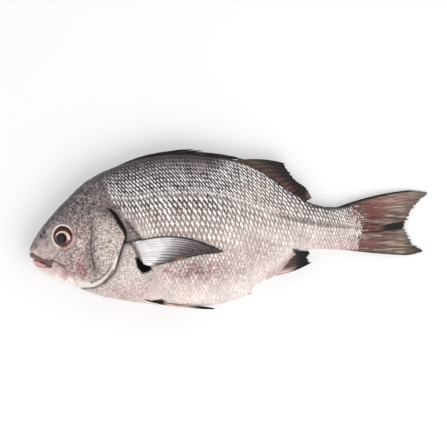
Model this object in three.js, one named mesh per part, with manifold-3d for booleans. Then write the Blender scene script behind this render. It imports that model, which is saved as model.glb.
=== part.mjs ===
// A whole raw sea bream, lying on its right side with the left side up.
// Millimetres, +Z up. The head points along -X and the back along +Y.
// The sketch frame below has x = 0 at the snout and z = 0 on the ground. The last
// lines move the fish so that its box is centred over the origin.
import * as THREE from "three";
import { mergeVertices } from "three/addons/utils/BufferGeometryUtils.js";
import Module from "manifold-3d";

const wasm = await Module();
wasm.setup();

// Driving dimensions.
const FISH_LENGTH = 332; // snout to the tip of the tail's upper lobe
const TRUNK_END = 282; // where the trunk has thinned out inside the tail fin
const WIDEST_LEVEL = 0.5; // share of the depth at which a section is thickest
const BACK_SHARPNESS = 1.12; // above 1 narrows a section towards the back
const BELLY_FULLNESS = 0.9; // below 1 fills a section towards the belly
const RESTING_BLEND = 2.4; // rounding where the flank is pressed flat on the ground
const RESTING_CUT = 0.25; // height of the flat that the flank rests on
const GILL_COVER_LIFT = 1.5; // step from the gill cover's edge down to the trunk
const COVER_LIFT_START = 0.55; // share of the head's length where that lift begins
const GILL_SLIT_DEPTH = 1.8; // sunk skin just behind that edge
const GILL_EDGE_TOP = 15; // above this height the cover runs into the nape
const GILL_EDGE_FADE = 6; // length over which the slit opens below that
// The slit's section: distance behind the cover's edge and share of the slit's depth.
const SLIT_SECTION = [
  { behind: 0.5, sunk: 1 }, { behind: 2, sunk: 0.8 }, { behind: 4.5, sunk: 0.15 },
];
// Swellings of the head: their middle, their reach either way and their height.
const LIPS = { x: 4, y: -31, length: 9, depth: 5, height: 1.1 };
const COVER_BULGE = { x: 66, y: -20, length: 12, depth: 24, height: 0.8 };
const EYE = { x: 27.2, y: -10.6, radius: 8.2, depth: 4.8, bulge: 1.6, gap: 0.3 };
const EYE_RIM = { radius: 9.2, thickness: 1.1 };
const FIN_STAND = 0.4; // height of a flat fin's mid-surface over the flank it lies on
const GROOVE_RADIUS = 0.8; // of the mouth and the crease before the gill cover
const NOSTRILS = [{ x: 12.5, y: -7.1, radius: 0.9 }, { x: 10.2, y: -10.7, radius: 0.7 }];
const VENT = { x: 180.6, y: -57.6, length: 3, radius: 2.4 };

// Outlines of the fish seen from above, as [x, y] along the body.
const BACK_LINE = [
  [0, -22.9], [3.4, -14.4], [8.9, -5.2], [17.2, 5.2], [33.9, 23.1], [47.5, 35.2],
  [68, 45.8], [86, 52], [104, 56.4], [126, 58.3], [153, 55.8], [175, 52], [195, 42.5],
  [213, 29.8], [225.6, 21.4], [237, 16], [250, 13.6], [266, 15.4], [282, 20.4],
];
const BELLY_LINE = [
  [0, -22.9], [3.1, -31], [7.5, -37.8], [15.1, -42.5], [25.4, -46.9], [40.5, -53.1],
  [51, -57.6], [75, -63.4], [104, -67.2], [134, -68.5], [155, -67.6], [168, -64.6],
  [180, -59.6], [188, -51.4], [199, -46.2], [211, -37.6], [219, -28], [230, -22.2],
  [249, -21.1], [266, -22.2], [282, -24.6],
];
const HALF_WIDTH = [
  [0, 0], [3, 6], [8, 9.6], [16, 12.8], [27, 16.3], [45, 20.4], [62, 22.4], [90, 23.3],
  [120, 23], [150, 20.9], [180, 16.8], [205, 12.6], [230, 9], [252, 6.2], [264, 4],
  [274, 1.9], [282, 0.7],
];
// Height of the mid-plane over the ground: the limp tail sags.
const MID_HEIGHT = [
  [0, 19.8], [40, 21.3], [100, 21.8], [150, 20.9], [185, 18.1], [215, 14.1], [245, 9.9],
  [270, 7], [300, 4.2], [332, 2],
];
// Rear edge of the gill cover, from the throat up to its upper end, as [y, x].
const GILL_EDGE = [
  [-60, 41.5], [-54.6, 45], [-52.1, 56.6], [-48, 64], [-41.8, 69.6], [-34.2, 73],
  [-25.9, 75.4], [-16.2, 78.6], [-10.1, 80.4], [-3.8, 78.9], [3.1, 75.1], [9.3, 70.3],
  [14.2, 64], [24, 59], [60, 56],
];
// Creases of the head, as [x, y].
const COVER_CREASE = [[52.3, -8], [51.8, -16], [51.9, -24], [53.2, -31], [55.4, -38]];
const MOUTH_CREASE = [[19.3, -34.1], [14, -33.1], [9, -31.8], [5, -30.6], [3.2, -30]];

// A natural cubic spline through [x, y] points. The curve runs over the square root
// of x where `blunt` is set, which rounds the snout off.
function splineThrough(points, blunt = false) {
  const warp = (x) => (blunt ? Math.sqrt(Math.max(x, 0)) : x);
  const x = points.map((p) => warp(p[0]));
  const y = points.map((p) => p[1]);
  const n = x.length;
  const bend = new Array(n).fill(0);
  const carry = new Array(n).fill(0);
  for (let i = 1; i < n - 1; i++) {
    const share = (x[i] - x[i - 1]) / (x[i + 1] - x[i - 1]);
    const pivot = share * bend[i - 1] + 2;
    const slopeAfter = (y[i + 1] - y[i]) / (x[i + 1] - x[i]);
    const slopeBefore = (y[i] - y[i - 1]) / (x[i] - x[i - 1]);
    const load = (6 * (slopeAfter - slopeBefore)) / (x[i + 1] - x[i - 1]);
    bend[i] = (share - 1) / pivot;
    carry[i] = (load - share * carry[i - 1]) / pivot;
  }
  bend[n - 1] = 0;
  for (let i = n - 2; i >= 0; i--) bend[i] = bend[i] * bend[i + 1] + carry[i];
  return (at) => {
    const q = Math.min(Math.max(warp(at), x[0]), x[n - 1]);
    let i = 0;
    while (i < n - 2 && q > x[i + 1]) i++;
    const h = x[i + 1] - x[i];
    const a = (x[i + 1] - q) / h;
    const b = (q - x[i]) / h;
    const cubic = ((a ** 3 - a) * bend[i] + (b ** 3 - b) * bend[i + 1]) * ((h * h) / 6);
    return a * y[i] + b * y[i + 1] + cubic;
  };
}

const back = splineThrough(BACK_LINE, true);
const belly = splineThrough(BELLY_LINE, true);
const halfWidth = splineThrough(HALF_WIDTH, true);
const midHeight = splineThrough(MID_HEIGHT);
const gillEdge = splineThrough(GILL_EDGE);
const smoothstep = THREE.MathUtils.smoothstep;
const bell = (distance, width) => Math.exp(-((distance / width) ** 2));

// The larger of two heights, rounded over `blend` where they meet.
function smoothMax(a, b, blend) {
  const h = Math.max(blend - Math.abs(a - b), 0) / blend;
  return Math.max(a, b) + (h * h * blend) / 4;
}

// A point of the body: x along it, turn from 0 at the back round the left side to pi
// at the belly and on round the right side, and how far the skin swells there.
function bodyPoint(x, turn, swell = 0) {
  const top = back(x);
  const bottom = belly(x);
  const level = bottom + WIDEST_LEVEL * (top - bottom);
  const c = Math.cos(turn);
  const s = Math.sin(turn);
  const reach = c > 0 ? top - level : level - bottom;
  const power = c > 0 ? BACK_SHARPNESS : BELLY_FULLNESS;
  const y = level + (reach + swell * Math.abs(c)) * c;
  const side = Math.sign(s) * Math.abs(s) ** power;
  const z = midHeight(x) + (halfWidth(x) + swell) * side;
  return new THREE.Vector3(x, y, smoothMax(z, 0, RESTING_BLEND));
}

// Distance from the mid-plane to the skin at (x, y).
function fleshDepth(x, y) {
  const top = back(x);
  const bottom = belly(x);
  const level = bottom + WIDEST_LEVEL * (top - bottom);
  const reach = y > level ? top - level : level - bottom;
  const c = THREE.MathUtils.clamp((y - level) / reach, -1, 1);
  const power = c > 0 ? BACK_SHARPNESS : BELLY_FULLNESS;
  return halfWidth(x) * Math.sqrt(1 - c * c) ** power;
}

// Height of the skin over the ground at (x, y). `side` is 1 on the left, -1 on the right.
function skinHeight(x, y, side) {
  return smoothMax(midHeight(x) + side * fleshDepth(x, y), 0, RESTING_BLEND);
}

// Direction of the skin at (x, y), away from the flesh.
function skinNormal(x, y, side) {
  const step = 0.5;
  const rise = (dx, dy) => side * (fleshDepth(x + dx, y + dy) - fleshDepth(x - dx, y - dy));
  const slopeX = rise(step, 0) / (2 * step);
  const slopeY = rise(0, step) / (2 * step);
  return new THREE.Vector3(-slopeX, -slopeY, 1).normalize().multiplyScalar(side);
}

const swelling = (form, x, y) =>
  form.height * bell(x - form.x, form.length) * bell(y - form.y, form.depth);

// Relief of the head: plump lips and the bulge of the gill cover.
const headRelief = (x, y) => swelling(LIPS, x, y) + swelling(COVER_BULGE, x, y);

// x of the gill cover's rear edge along one line of the body's grid, by halving.
function gillEdgeAt(turn) {
  let [before, after] = [30, 95];
  while (after - before > 1e-6) {
    const x = (before + after) / 2;
    if (x < gillEdge(bodyPoint(x, turn).y)) before = x;
    else after = x;
  }
  return before;
}

// The trunk and head as one closed grid. Its columns follow the gill cover's edge, so
// that the step behind the cover is crisp.
function bodyGeometry() {
  const around = 44;
  const headColumns = 20;
  const trunkColumns = 26;
  const columns = [];
  for (let i = 1; i <= headColumns; i++) {
    const s = i / headColumns;
    columns.push({ head: (s ** 2 + s) / 2, trunk: 0, behind: 0, sunk: 0 });
  }
  for (const fold of SLIT_SECTION) columns.push({ head: 1, trunk: 0, ...fold });
  const { behind: slitLength } = SLIT_SECTION.at(-1);
  for (let i = 1; i <= trunkColumns; i++) {
    columns.push({ head: 1, trunk: i / trunkColumns, behind: slitLength, sunk: 0 });
  }
  const points = [bodyPoint(0, 0)];
  for (const { head, trunk, behind, sunk } of columns) {
    for (let j = 0; j < around; j++) {
      const turn = (2 * Math.PI * j) / around;
      const edge = gillEdgeAt(turn);
      const start = edge * head + behind;
      const x = start + (TRUNK_END - start) * trunk;
      const below = smoothstep(GILL_EDGE_TOP - bodyPoint(edge, turn).y, 0, GILL_EDGE_FADE);
      const open = below * smoothstep(Math.abs(Math.sin(turn)), 0.05, 0.3);
      const coverLift = GILL_COVER_LIFT * smoothstep(head, COVER_LIFT_START, 1);
      const lift = behind ? -GILL_SLIT_DEPTH * sunk : coverLift;
      const relief = behind ? 0 : headRelief(x, bodyPoint(x, turn).y);
      points.push(bodyPoint(x, turn, lift * open + relief));
    }
  }
  const endLevel = (back(TRUNK_END) + belly(TRUNK_END)) / 2;
  points.push(new THREE.Vector3(TRUNK_END, endLevel, midHeight(TRUNK_END)));
  const index = [];
  const at = (i, j) => 1 + i * around + (j % around);
  const last = columns.length - 1;
  for (let j = 0; j < around; j++) {
    index.push(0, at(0, j), at(0, j + 1));
    for (let i = 0; i < last; i++) {
      index.push(at(i, j), at(i + 1, j), at(i, j + 1));
      index.push(at(i + 1, j), at(i + 1, j + 1), at(i, j + 1));
    }
    index.push(at(last, j), points.length - 1, at(last, j + 1));
  }
  return new THREE.BufferGeometry().setFromPoints(points).setIndex(index);
}

// A closed thin blade round the mid-surface `sheet(u, v)`, with u from root to margin
// and v from the first ray to the last.
function bladeGeometry(sheet, thickness, uSteps, vSteps) {
  const points = [];
  const reach = 1e-3;
  const within = (t) => THREE.MathUtils.clamp(t, 0, 1);
  for (const side of [0.5, -0.5]) {
    for (let i = 0; i <= uSteps; i++) {
      for (let j = 0; j <= vSteps; j++) {
        const u = i / uSteps;
        const v = j / vSteps;
        const alongU = sheet(within(u + reach), v).sub(sheet(within(u - reach), v));
        const alongV = sheet(u, within(v + reach)).sub(sheet(u, within(v - reach)));
        const normal = alongU.cross(alongV).normalize();
        points.push(sheet(u, v).addScaledVector(normal, side * thickness(u, v)));
      }
    }
  }
  const row = vSteps + 1;
  const under = row * (uSteps + 1);
  const index = [];
  const quad = (a, b, c, d) => index.push(a, b, c, a, c, d);
  for (let i = 0; i < uSteps; i++) {
    for (let j = 0; j < vSteps; j++) {
      const a = i * row + j;
      quad(a, a + row, a + row + 1, a + 1);
      quad(under + a, under + a + 1, under + a + row + 1, under + a + row);
    }
    const first = i * row;
    const last = first + vSteps;
    quad(first, under + first, under + first + row, first + row);
    quad(last, last + row, under + last + row, under + last);
  }
  for (let j = 0; j < vSteps; j++) {
    const margin = uSteps * row + j;
    quad(j, j + 1, under + j + 1, under + j);
    quad(margin, under + margin, under + margin + 1, margin + 1);
  }
  return new THREE.BufferGeometry().setFromPoints(points).setIndex(index);
}

// A smooth curve through points of the sketch frame.
const curveThrough = (points) =>
  new THREE.CatmullRomCurve3(points.map(([x, y, z = 0]) => new THREE.Vector3(x, y, z)));

// A fin whose rays run from the root curve to the margin curve. `bow` bends its first
// and last rays sideways, and `notch` lets the skin between rays fall short of their tips.
function finGeometry(fin) {
  const root = curveThrough(fin.root);
  const margin = curveThrough(fin.margin);
  const gaps = fin.rays - 1;
  const sheet = (u, v) => {
    const between = Math.sin(Math.PI * v * gaps) ** 2;
    const p = root.getPoint(v).lerp(margin.getPoint(v), u * (1 - fin.notch * between * u));
    p.y += THREE.MathUtils.lerp(fin.bow[0], fin.bow[1], v) * 4 * u * (1 - u);
    p.z += fin.height(p.x, p.y, u);
    return p;
  };
  const thickness = (u, v) => {
    const onRay = Math.cos(Math.PI * v * gaps) ** 2;
    return (fin.skin + fin.ray * onRay) * (1 - fin.taper * u);
  };
  return bladeGeometry(sheet, thickness, fin.uSteps, 2 * gaps);
}

const ripple = (x, y) => 0.6 * Math.sin(x / 7 + y / 9);

// The tail fin: two lobes round a fork, fanned out from the end of the trunk.
const TAIL_FIN = {
  root: [[260, 13.4], [267, 8], [269, -3], [267, -14], [260, -19.6]],
  margin: [
    [317.8, 27.9], [326.6, 27.6], [FISH_LENGTH, 25.2], [326.2, 15.6], [320.2, 9], [316.2, 1.4],
    [314.2, -3.4], [317.6, -10], [322.2, -17.6], [328.2, -22.9], [321.6, -25.6], [314, -26.6],
  ],
  bow: [1.6, -0.6],
  rays: 15,
  notch: 0.03,
  skin: 1,
  ray: 0.8,
  taper: 0.5,
  uSteps: 8,
  height: (x, y, u) => midHeight(x) + u * ripple(x, y),
};

// The front, spiny part of the dorsal fin, folded back into its groove.
const SPINY_DORSAL = {
  root: [[88, 50], [112, 55], [135, 55.6], [158, 52.6], [180, 48]],
  margin: [[112, 58.4], [136.2, 61.2], [152, 58.6], [168, 55.6], [188, 50.6]],
  bow: [0.6, 0.2],
  rays: 10,
  notch: 0.3,
  skin: 1.4,
  ray: 0.9,
  taper: 0.4,
  uSteps: 5,
  height: (x) => midHeight(x),
};

// The rear, soft part of the dorsal fin, half raised and swept back.
const SOFT_DORSAL = {
  root: [[172, 50], [190, 43], [207, 32], [220, 23.4], [228, 18]],
  margin: [[212, 50.4], [217.6, 42.4], [223.8, 34.6], [230.8, 29.8], [235.2, 21.2]],
  bow: [2.8, -0.4],
  rays: 11,
  notch: 0.05,
  skin: 0.9,
  ray: 0.8,
  taper: 0.45,
  uSteps: 6,
  height: (x, y, u) => midHeight(x) + u * ripple(x, y),
};

// The anal fin, folded back along the underside.
const ANAL_FIN = {
  root: [[197, -44.4], [208, -36.6], [215, -29], [220, -24], [225, -21.4]],
  margin: [[235.6, -32.4], [234, -30], [232.2, -27.8], [234.4, -25], [232.2, -22.6]],
  bow: [-2.6, -0.6],
  rays: 8,
  notch: 0.08,
  skin: 1,
  ray: 0.8,
  taper: 0.4,
  uSteps: 6,
  height: (x, y, u) => midHeight(x) + u * ripple(x, y),
};

// A pelvic fin, folded to a narrow blade along the belly. `side` is 1 on the left.
const pelvicFin = (side) => ({
  root: [[95.5, -62.6, 8.6 * side], [101, -64.6, 5.6 * side], [108, -65.9, 2.2 * side]],
  margin: [[154.3, -71.2, 6.2 * side], [150, -71, 4.8 * side], [140, -70.2, 3 * side]],
  bow: [-1.8, -1.6],
  rays: 5,
  notch: 0.05,
  skin: 1,
  ray: 0.7,
  taper: 0.4,
  uSteps: 7,
  height: (x) => midHeight(x),
});

// A pectoral fin, laid back flat along the flank. `side` is 1 on the left.
const pectoralFin = (side) => ({
  root: [[87.6, -15], [89.8, -19.4], [91.2, -24], [92.4, -28]],
  margin: [
    [162, -23.8], [155, -25.2], [145, -26], [135, -27.8], [127, -30.8], [120, -33.2],
    [109, -34], [98, -35.6],
  ],
  bow: [7.4, 0],
  rays: 9,
  notch: 0.02,
  skin: 1.8,
  ray: 0.4,
  taper: 0.2,
  uSteps: 8,
  height: (x, y) => skinHeight(x, y, side) + side * FIN_STAND,
});

// A geometry as a solid, with its shared vertices merged and its faces turned outwards.
function solidOf(geometry) {
  const bare = geometry.clone();
  bare.deleteAttribute("normal");
  bare.deleteAttribute("uv");
  const merged = mergeVertices(bare, 1e-4);
  const position = merged.attributes.position;
  const index = Array.from(merged.index.array);
  const corner = (k) => new THREE.Vector3().fromBufferAttribute(position, index[k]);
  let volume = 0;
  for (let k = 0; k < index.length; k += 3) {
    volume += corner(k).dot(corner(k + 1).cross(corner(k + 2)));
  }
  if (volume < 0) index.reverse();
  return new wasm.Manifold(
    new wasm.Mesh({
      numProp: 3,
      vertProperties: new Float32Array(position.array),
      triVerts: new Uint32Array(index),
    }),
  );
}

// A solid back as a geometry with flat faces.
function geometryOf(solid) {
  const { vertProperties, triVerts } = solid.getMesh();
  const geometry = new THREE.BufferGeometry();
  geometry.setAttribute("position", new THREE.BufferAttribute(vertProperties, 3));
  geometry.setIndex(new THREE.BufferAttribute(triVerts, 1));
  return geometry;
}

// A round tube through points, with closed ends.
function tubeGeometry(points, radius, steps) {
  const section = new THREE.Shape().absarc(0, 0, radius, 0, 2 * Math.PI);
  const extrudePath = new THREE.CatmullRomCurve3(points);
  return new THREE.ExtrudeGeometry(section, { steps, curveSegments: 3, extrudePath });
}

// A crease cut along [x, y] points of the skin of one side.
const creaseOn = (chain, side) =>
  tubeGeometry(
    chain.map(([x, y]) => new THREE.Vector3(x, y, skinHeight(x, y, side))),
    GROOVE_RADIUS,
    6,
  );

// The mouth is one crease from corner to corner, round the front of the snout.
function mouthGeometry() {
  const half = (side) => MOUTH_CREASE.map(([x, y]) => new THREE.Vector3(x, y, skinHeight(x, y, side)));
  const front = new THREE.Vector3(2, -29.4, midHeight(2));
  return tubeGeometry([...half(1), front, ...half(-1).reverse()], GROOVE_RADIUS, 16);
}

// Moves a geometry made round the Z axis so that Z points out of the skin at (x, y).
function standOnSkin(geometry, x, y, side, rise) {
  const out = skinNormal(x, y, side);
  const turn = new THREE.Quaternion().setFromUnitVectors(new THREE.Vector3(0, 0, 1), out);
  const place = new THREE.Vector3(x, y, midHeight(x) + side * fleshDepth(x, y));
  geometry.applyQuaternion(turn);
  geometry.translate(...place.addScaledVector(out, rise));
  return geometry;
}

// An eyeball, flattened along its axis. `extra` grows it all round for its socket.
function eyeGeometry(side, extra) {
  const ball = new THREE.SphereGeometry(1, 22, 12);
  ball.rotateX(Math.PI / 2);
  ball.scale(EYE.radius + extra, EYE.radius + extra, EYE.depth + extra);
  return standOnSkin(ball, EYE.x, EYE.y, side, EYE.bulge - EYE.depth);
}

function eyeRimGeometry(side) {
  const rim = new THREE.TorusGeometry(EYE_RIM.radius, EYE_RIM.thickness, 6, 22);
  return standOnSkin(rim, EYE.x, EYE.y, side, 0);
}

function nostrilGeometry({ x, y, radius }, side) {
  return standOnSkin(new THREE.SphereGeometry(radius, 6, 4), x, y, side, 0);
}

function ventGeometry() {
  const bump = new THREE.SphereGeometry(1, 12, 8);
  bump.scale(VENT.length, VENT.radius, VENT.radius);
  return bump.translate(VENT.x, VENT.y, midHeight(VENT.x));
}

// The fish without its eyes: flesh, skin and fins grow into one another.
function fishSolid() {
  const grown = [TAIL_FIN, SPINY_DORSAL, SOFT_DORSAL, ANAL_FIN];
  let fish = solidOf(bodyGeometry()).add(solidOf(ventGeometry()));
  for (const side of [1, -1]) {
    grown.push(pelvicFin(side), pectoralFin(side));
    fish = fish.add(solidOf(eyeRimGeometry(side)));
    fish = fish.subtract(solidOf(eyeGeometry(side, EYE.gap)));
    fish = fish.subtract(solidOf(creaseOn(COVER_CREASE, side)));
    for (const nostril of NOSTRILS) {
      fish = fish.subtract(solidOf(nostrilGeometry(nostril, side)));
    }
  }
  fish = fish.subtract(solidOf(mouthGeometry()));
  for (const fin of grown) fish = fish.add(solidOf(finGeometry(fin)));
  return fish.trimByPlane([0, 0, 1], RESTING_CUT);
}

const SKIN = new THREE.MeshStandardMaterial({ color: 0xb9b0ae, roughness: 0.32, metalness: 0.1 });
const EYE_GLOSS = new THREE.MeshStandardMaterial({ color: 0x2c211f, roughness: 0.08 });

const fish = new THREE.Mesh(geometryOf(fishSolid()), SKIN);
const eyeLeft = new THREE.Mesh(eyeGeometry(1, 0), EYE_GLOSS);
const eyeRight = new THREE.Mesh(eyeGeometry(-1, 0), EYE_GLOSS);
fish.name = "fish";
eyeLeft.name = "eye_left";
eyeRight.name = "eye_right";

const whole = new THREE.Group().add(fish, eyeLeft, eyeRight);
const box = new THREE.Box3().setFromObject(whole);
const middle = box.getCenter(new THREE.Vector3());
whole.position.set(-middle.x, -middle.y, -box.min.z);

export default whole;
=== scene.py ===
"""A whole raw sea bream lying on its right side, seen from straight above.

Sizes are in millimetres in a sketch frame with x = 0 at the snout and z = 0 just under
the ground, +Y towards the back and +Z up; to_row() carries them into the part's frame.
"""

import bpy
import numpy as np
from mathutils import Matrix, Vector


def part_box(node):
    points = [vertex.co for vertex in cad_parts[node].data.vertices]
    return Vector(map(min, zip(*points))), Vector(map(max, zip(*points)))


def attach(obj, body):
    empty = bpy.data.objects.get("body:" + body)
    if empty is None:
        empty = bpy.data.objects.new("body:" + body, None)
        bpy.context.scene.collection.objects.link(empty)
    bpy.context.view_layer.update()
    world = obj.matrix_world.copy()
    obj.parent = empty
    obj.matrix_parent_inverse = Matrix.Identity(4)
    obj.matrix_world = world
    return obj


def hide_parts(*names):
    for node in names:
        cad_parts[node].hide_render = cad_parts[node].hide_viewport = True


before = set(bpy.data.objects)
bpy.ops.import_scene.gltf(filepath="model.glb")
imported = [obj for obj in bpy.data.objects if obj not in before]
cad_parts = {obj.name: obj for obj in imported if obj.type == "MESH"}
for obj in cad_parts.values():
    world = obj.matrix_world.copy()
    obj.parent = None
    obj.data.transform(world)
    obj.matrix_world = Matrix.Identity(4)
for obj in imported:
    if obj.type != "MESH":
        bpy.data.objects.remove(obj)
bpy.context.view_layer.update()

MM = 0.001
PHOTO_SIDE = 447
PHOTO_SCALE = 0.8325  # millimetres to a photo pixel at the height of the mid-plane
PHOTO_SNOUT_U = 29.3
PHOTO_LEVEL_V = 223.5
MIDDLE_X = 150  # where the fish's mid-plane has the height that the scale holds at
CAMERA_HEIGHT = 4.0

# Main sizes, as in the solids.
FISH_LENGTH = 332
TRUNK_END = 282
WIDEST_LEVEL = 0.5
BACK_SHARPNESS = 1.12
BELLY_FULLNESS = 0.9
RESTING_BLEND = 2.4
RESTING_CUT = 0.25
SKIN_CLEARANCE = 0.55  # the bare skin stays this far above the ground, for its scales
GILL_COVER_LIFT = 1.5
GILL_EDGE_TOP = 15
SOLID_EYE_X, EYE_Y, EYE_RADIUS, EYE_DEPTH, EYE_BULGE = 27.2, -10.6, 8.2, 4.8, 1.6
EYE_X = SOLID_EYE_X + 1.1  # the painted eye sits nearer the gills than the solid's
EYE_TALLNESS = 1.06

BACK_LINE = [
    (0, -22.9), (3.4, -14.4), (8.9, -5.2), (17.2, 5.2), (33.9, 23.1), (47.5, 35.2),
    (68, 45.8), (86, 52), (104, 56.4), (126, 58.3), (153, 55.8), (175, 52), (195, 42.5),
    (213, 29.8), (225.6, 21.4), (237, 16), (250, 13.6), (266, 15.4), (282, 20.4),
]
BELLY_LINE = [
    (0, -22.9), (3.1, -31), (7.5, -37.8), (15.1, -42.5), (25.4, -46.9), (40.5, -53.1),
    (51, -57.6), (75, -63.4), (104, -67.2), (134, -68.5), (155, -67.6), (168, -64.6),
    (180, -59.6), (188, -51.4), (199, -46.2), (211, -37.6), (219, -28), (230, -22.2),
    (249, -21.1), (266, -22), (282, -22.8),
]
HALF_WIDTH = [
    (0, 0), (3, 6), (8, 9.6), (16, 12.8), (27, 16.3), (45, 20.4), (62, 22.4), (90, 23.3),
    (120, 23), (150, 20.9), (180, 16.8), (205, 12.6), (230, 9), (252, 6.2), (264, 3.4),
    (271, 1.2), (276, 0.4), (282, 0.2),
]
MID_HEIGHT = [
    (0, 19.8), (40, 21.3), (100, 21.8), (150, 20.9), (185, 18.1), (215, 14.1), (245, 9.9),
    (270, 7), (300, 4.2), (332, 2),
]
# Rear edge of the gill cover as (y, x), from the throat up.
GILL_EDGE = [
    (-60, 41.5), (-54.6, 45), (-52.1, 56.6), (-48, 64), (-41.8, 69.6), (-34.2, 73),
    (-25.9, 75.4), (-16.2, 78.6), (-10.1, 80.4), (-3.8, 78.9), (3.1, 75.1), (9.3, 70.3),
    (14.2, 64), (24, 59), (60, 56),
]
# Front edge of the scaled skin as (y, x).
SCALE_FRONT = [
    (-70, 104), (-56, 101), (-44, 104), (-32, 104), (-16, 99), (-7, 93), (2, 86), (11, 77),
    (18, 69), (32, 64), (44, 60), (60, 58),
]
LATERAL_LINE = [
    (60, 24), (88.2, 21.2), (103.8, 24.1), (126, 25.7), (148.4, 25.1), (170.7, 20.8),
    (186.2, 15.2), (201.9, 9.7), (215.3, 5.7), (233.1, 1.8), (248.7, -0.6), (260, -2.1),
    (290, -4),
]


# Curves and small mathematics.

def spline(points, blunt=False):
    """A natural cubic spline; `blunt` runs it over the square root of x."""
    x, y = np.array(points, float).T
    if blunt:
        x = np.sqrt(x)
    n = len(x)
    step = np.diff(x)
    system = np.eye(n)
    load = np.zeros(n)
    for i in range(1, n - 1):
        system[i, i - 1:i + 2] = step[i - 1], 2 * (step[i - 1] + step[i]), step[i]
        load[i] = 6 * ((y[i + 1] - y[i]) / step[i] - (y[i] - y[i - 1]) / step[i - 1])
    bend = np.linalg.solve(system, load)

    def at(q):
        q = np.asarray(q, float)
        if blunt:
            q = np.sqrt(np.maximum(q, 0))
        q = np.clip(q, x[0], x[-1])
        i = np.clip(np.searchsorted(x, q) - 1, 0, n - 2)
        h = step[i]
        a = (x[i + 1] - q) / h
        b = (q - x[i]) / h
        cubic = ((a**3 - a) * bend[i] + (b**3 - b) * bend[i + 1]) * h**2 / 6
        return a * y[i] + b * y[i + 1] + cubic

    return at


back = spline(BACK_LINE, blunt=True)
belly = spline(BELLY_LINE, blunt=True)
half_width = spline(HALF_WIDTH, blunt=True)
mid_height = spline(MID_HEIGHT)
gill_edge = spline(GILL_EDGE)
scale_front = spline(SCALE_FRONT)
lateral_line = spline(LATERAL_LINE)


def smooth(t, low=0.0, high=1.0):
    """0 below low, 1 above high and an S curve between."""
    t = np.clip((np.asarray(t, float) - low) / (high - low), 0, 1)
    return t * t * (3 - 2 * t)


def fade(t, low=0.0, high=1.0):
    """1 below low, 0 above high and an S curve between."""
    return 1 - smooth(t, low, high)


def bell(distance, width=1.0):
    return np.exp(-((distance / width) ** 2))


def smooth_max(a, b, blend):
    h = np.maximum(blend - np.abs(a - b), 0) / blend
    return np.maximum(a, b) + h * h * blend / 4


def near(chain, x, y):
    """Distance from (x, y) to an open chain of points."""
    nearest = np.full(np.shape(x), np.inf)
    for (ax, ay), (bx, by) in zip(chain, chain[1:]):
        dx, dy = bx - ax, by - ay
        t = np.clip(((x - ax) * dx + (y - ay) * dy) / (dx * dx + dy * dy), 0, 1)
        nearest = np.minimum(nearest, np.hypot(x - ax - t * dx, y - ay - t * dy))
    return nearest


def within(outline, x, y):
    """True where (x, y) is inside a closed outline."""
    inside = np.zeros(np.shape(x), bool)
    for (ax, ay), (bx, by) in zip(outline, outline[1:] + outline[:1]):
        if ay != by:
            inside ^= ((ay > y) != (by > y)) & (x < (bx - ax) * (y - ay) / (by - ay) + ax)
    return inside


def depth_in(outline, x, y):
    """Distance from a closed outline, positive inside it and negative outside."""
    distance = near(outline + outline[:1], x, y)
    return np.where(within(outline, x, y), distance, -distance)


def patch(outline, x, y, soft):
    """1 inside a closed outline and 0 outside, blurred over `soft` millimetres."""
    return smooth(depth_in(outline, x, y), -soft, soft)


def stroke(chain, x, y, width):
    """1 on a chain of points, fading out at about `width` from it."""
    return bell(near(chain, x, y), width)


def spot(x, y, centre, reach):
    """1 in the middle of an oval spot, fading out at about its reach."""
    return bell(np.hypot((x - centre[0]) / reach[0], (y - centre[1]) / reach[1]))


def lumps(x, y, size, seed=0):
    """Smooth random lumps about `size` across, from 0 to 1."""
    table = np.random.default_rng(seed).random((64, 64))
    u, v = x / size + 20, y / size + 20
    i, j = np.floor(u).astype(int), np.floor(v).astype(int)
    a, b = smooth(u - i), smooth(v - j)
    low = table[i % 64, j % 64] * (1 - a) + table[(i + 1) % 64, j % 64] * a
    high = table[i % 64, (j + 1) % 64] * (1 - a) + table[(i + 1) % 64, (j + 1) % 64] * a
    return low * (1 - b) + high * b


# The body's form.

def section(x):
    """Level of the widest point and the reach up and down from it."""
    top, bottom = back(x), belly(x)
    level = bottom + WIDEST_LEVEL * (top - bottom)
    return level, top - level, level - bottom


def body_point(x, turn, swell=0.0):
    """Points of the skin: turn runs from 0 at the back over the left side to pi."""
    level, up, down = section(x)
    c, s = np.cos(turn), np.sin(turn)
    power = np.where(c > 0, BACK_SHARPNESS, BELLY_FULLNESS)
    y = level + (np.where(c > 0, up, down) + swell * np.abs(c)) * c
    z = mid_height(x) + (half_width(x) + swell) * (np.sign(s) * np.abs(s) ** power)
    return np.stack(np.broadcast_arrays(x, y, smooth_max(z, 0.0, RESTING_BLEND)), axis=-1)


def flesh_depth(x, y):
    """Distance from the mid-plane to the skin."""
    level, up, down = section(x)
    c = np.clip((y - level) / np.where(y > level, up, down), -1, 1)
    power = np.where(c > 0, BACK_SHARPNESS, BELLY_FULLNESS)
    return half_width(x) * np.sqrt(1 - c * c) ** power


def rise_at(x, y):
    """How far up the body a place is: 0 at the belly and 1 at the back."""
    top, bottom = back(x), belly(x)
    return np.clip((y - bottom) / np.maximum(top - bottom, 1), 0, 1)


def skin_normal(x, y, side):
    """Unit vector out of the skin at one point."""
    step = 0.5
    slope_x = side * float(flesh_depth(x + step, y) - flesh_depth(x - step, y)) / (2 * step)
    slope_y = side * float(flesh_depth(x, y + step) - flesh_depth(x, y - step)) / (2 * step)
    return Vector((-slope_x, -slope_y, 1)).normalized() * side


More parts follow.
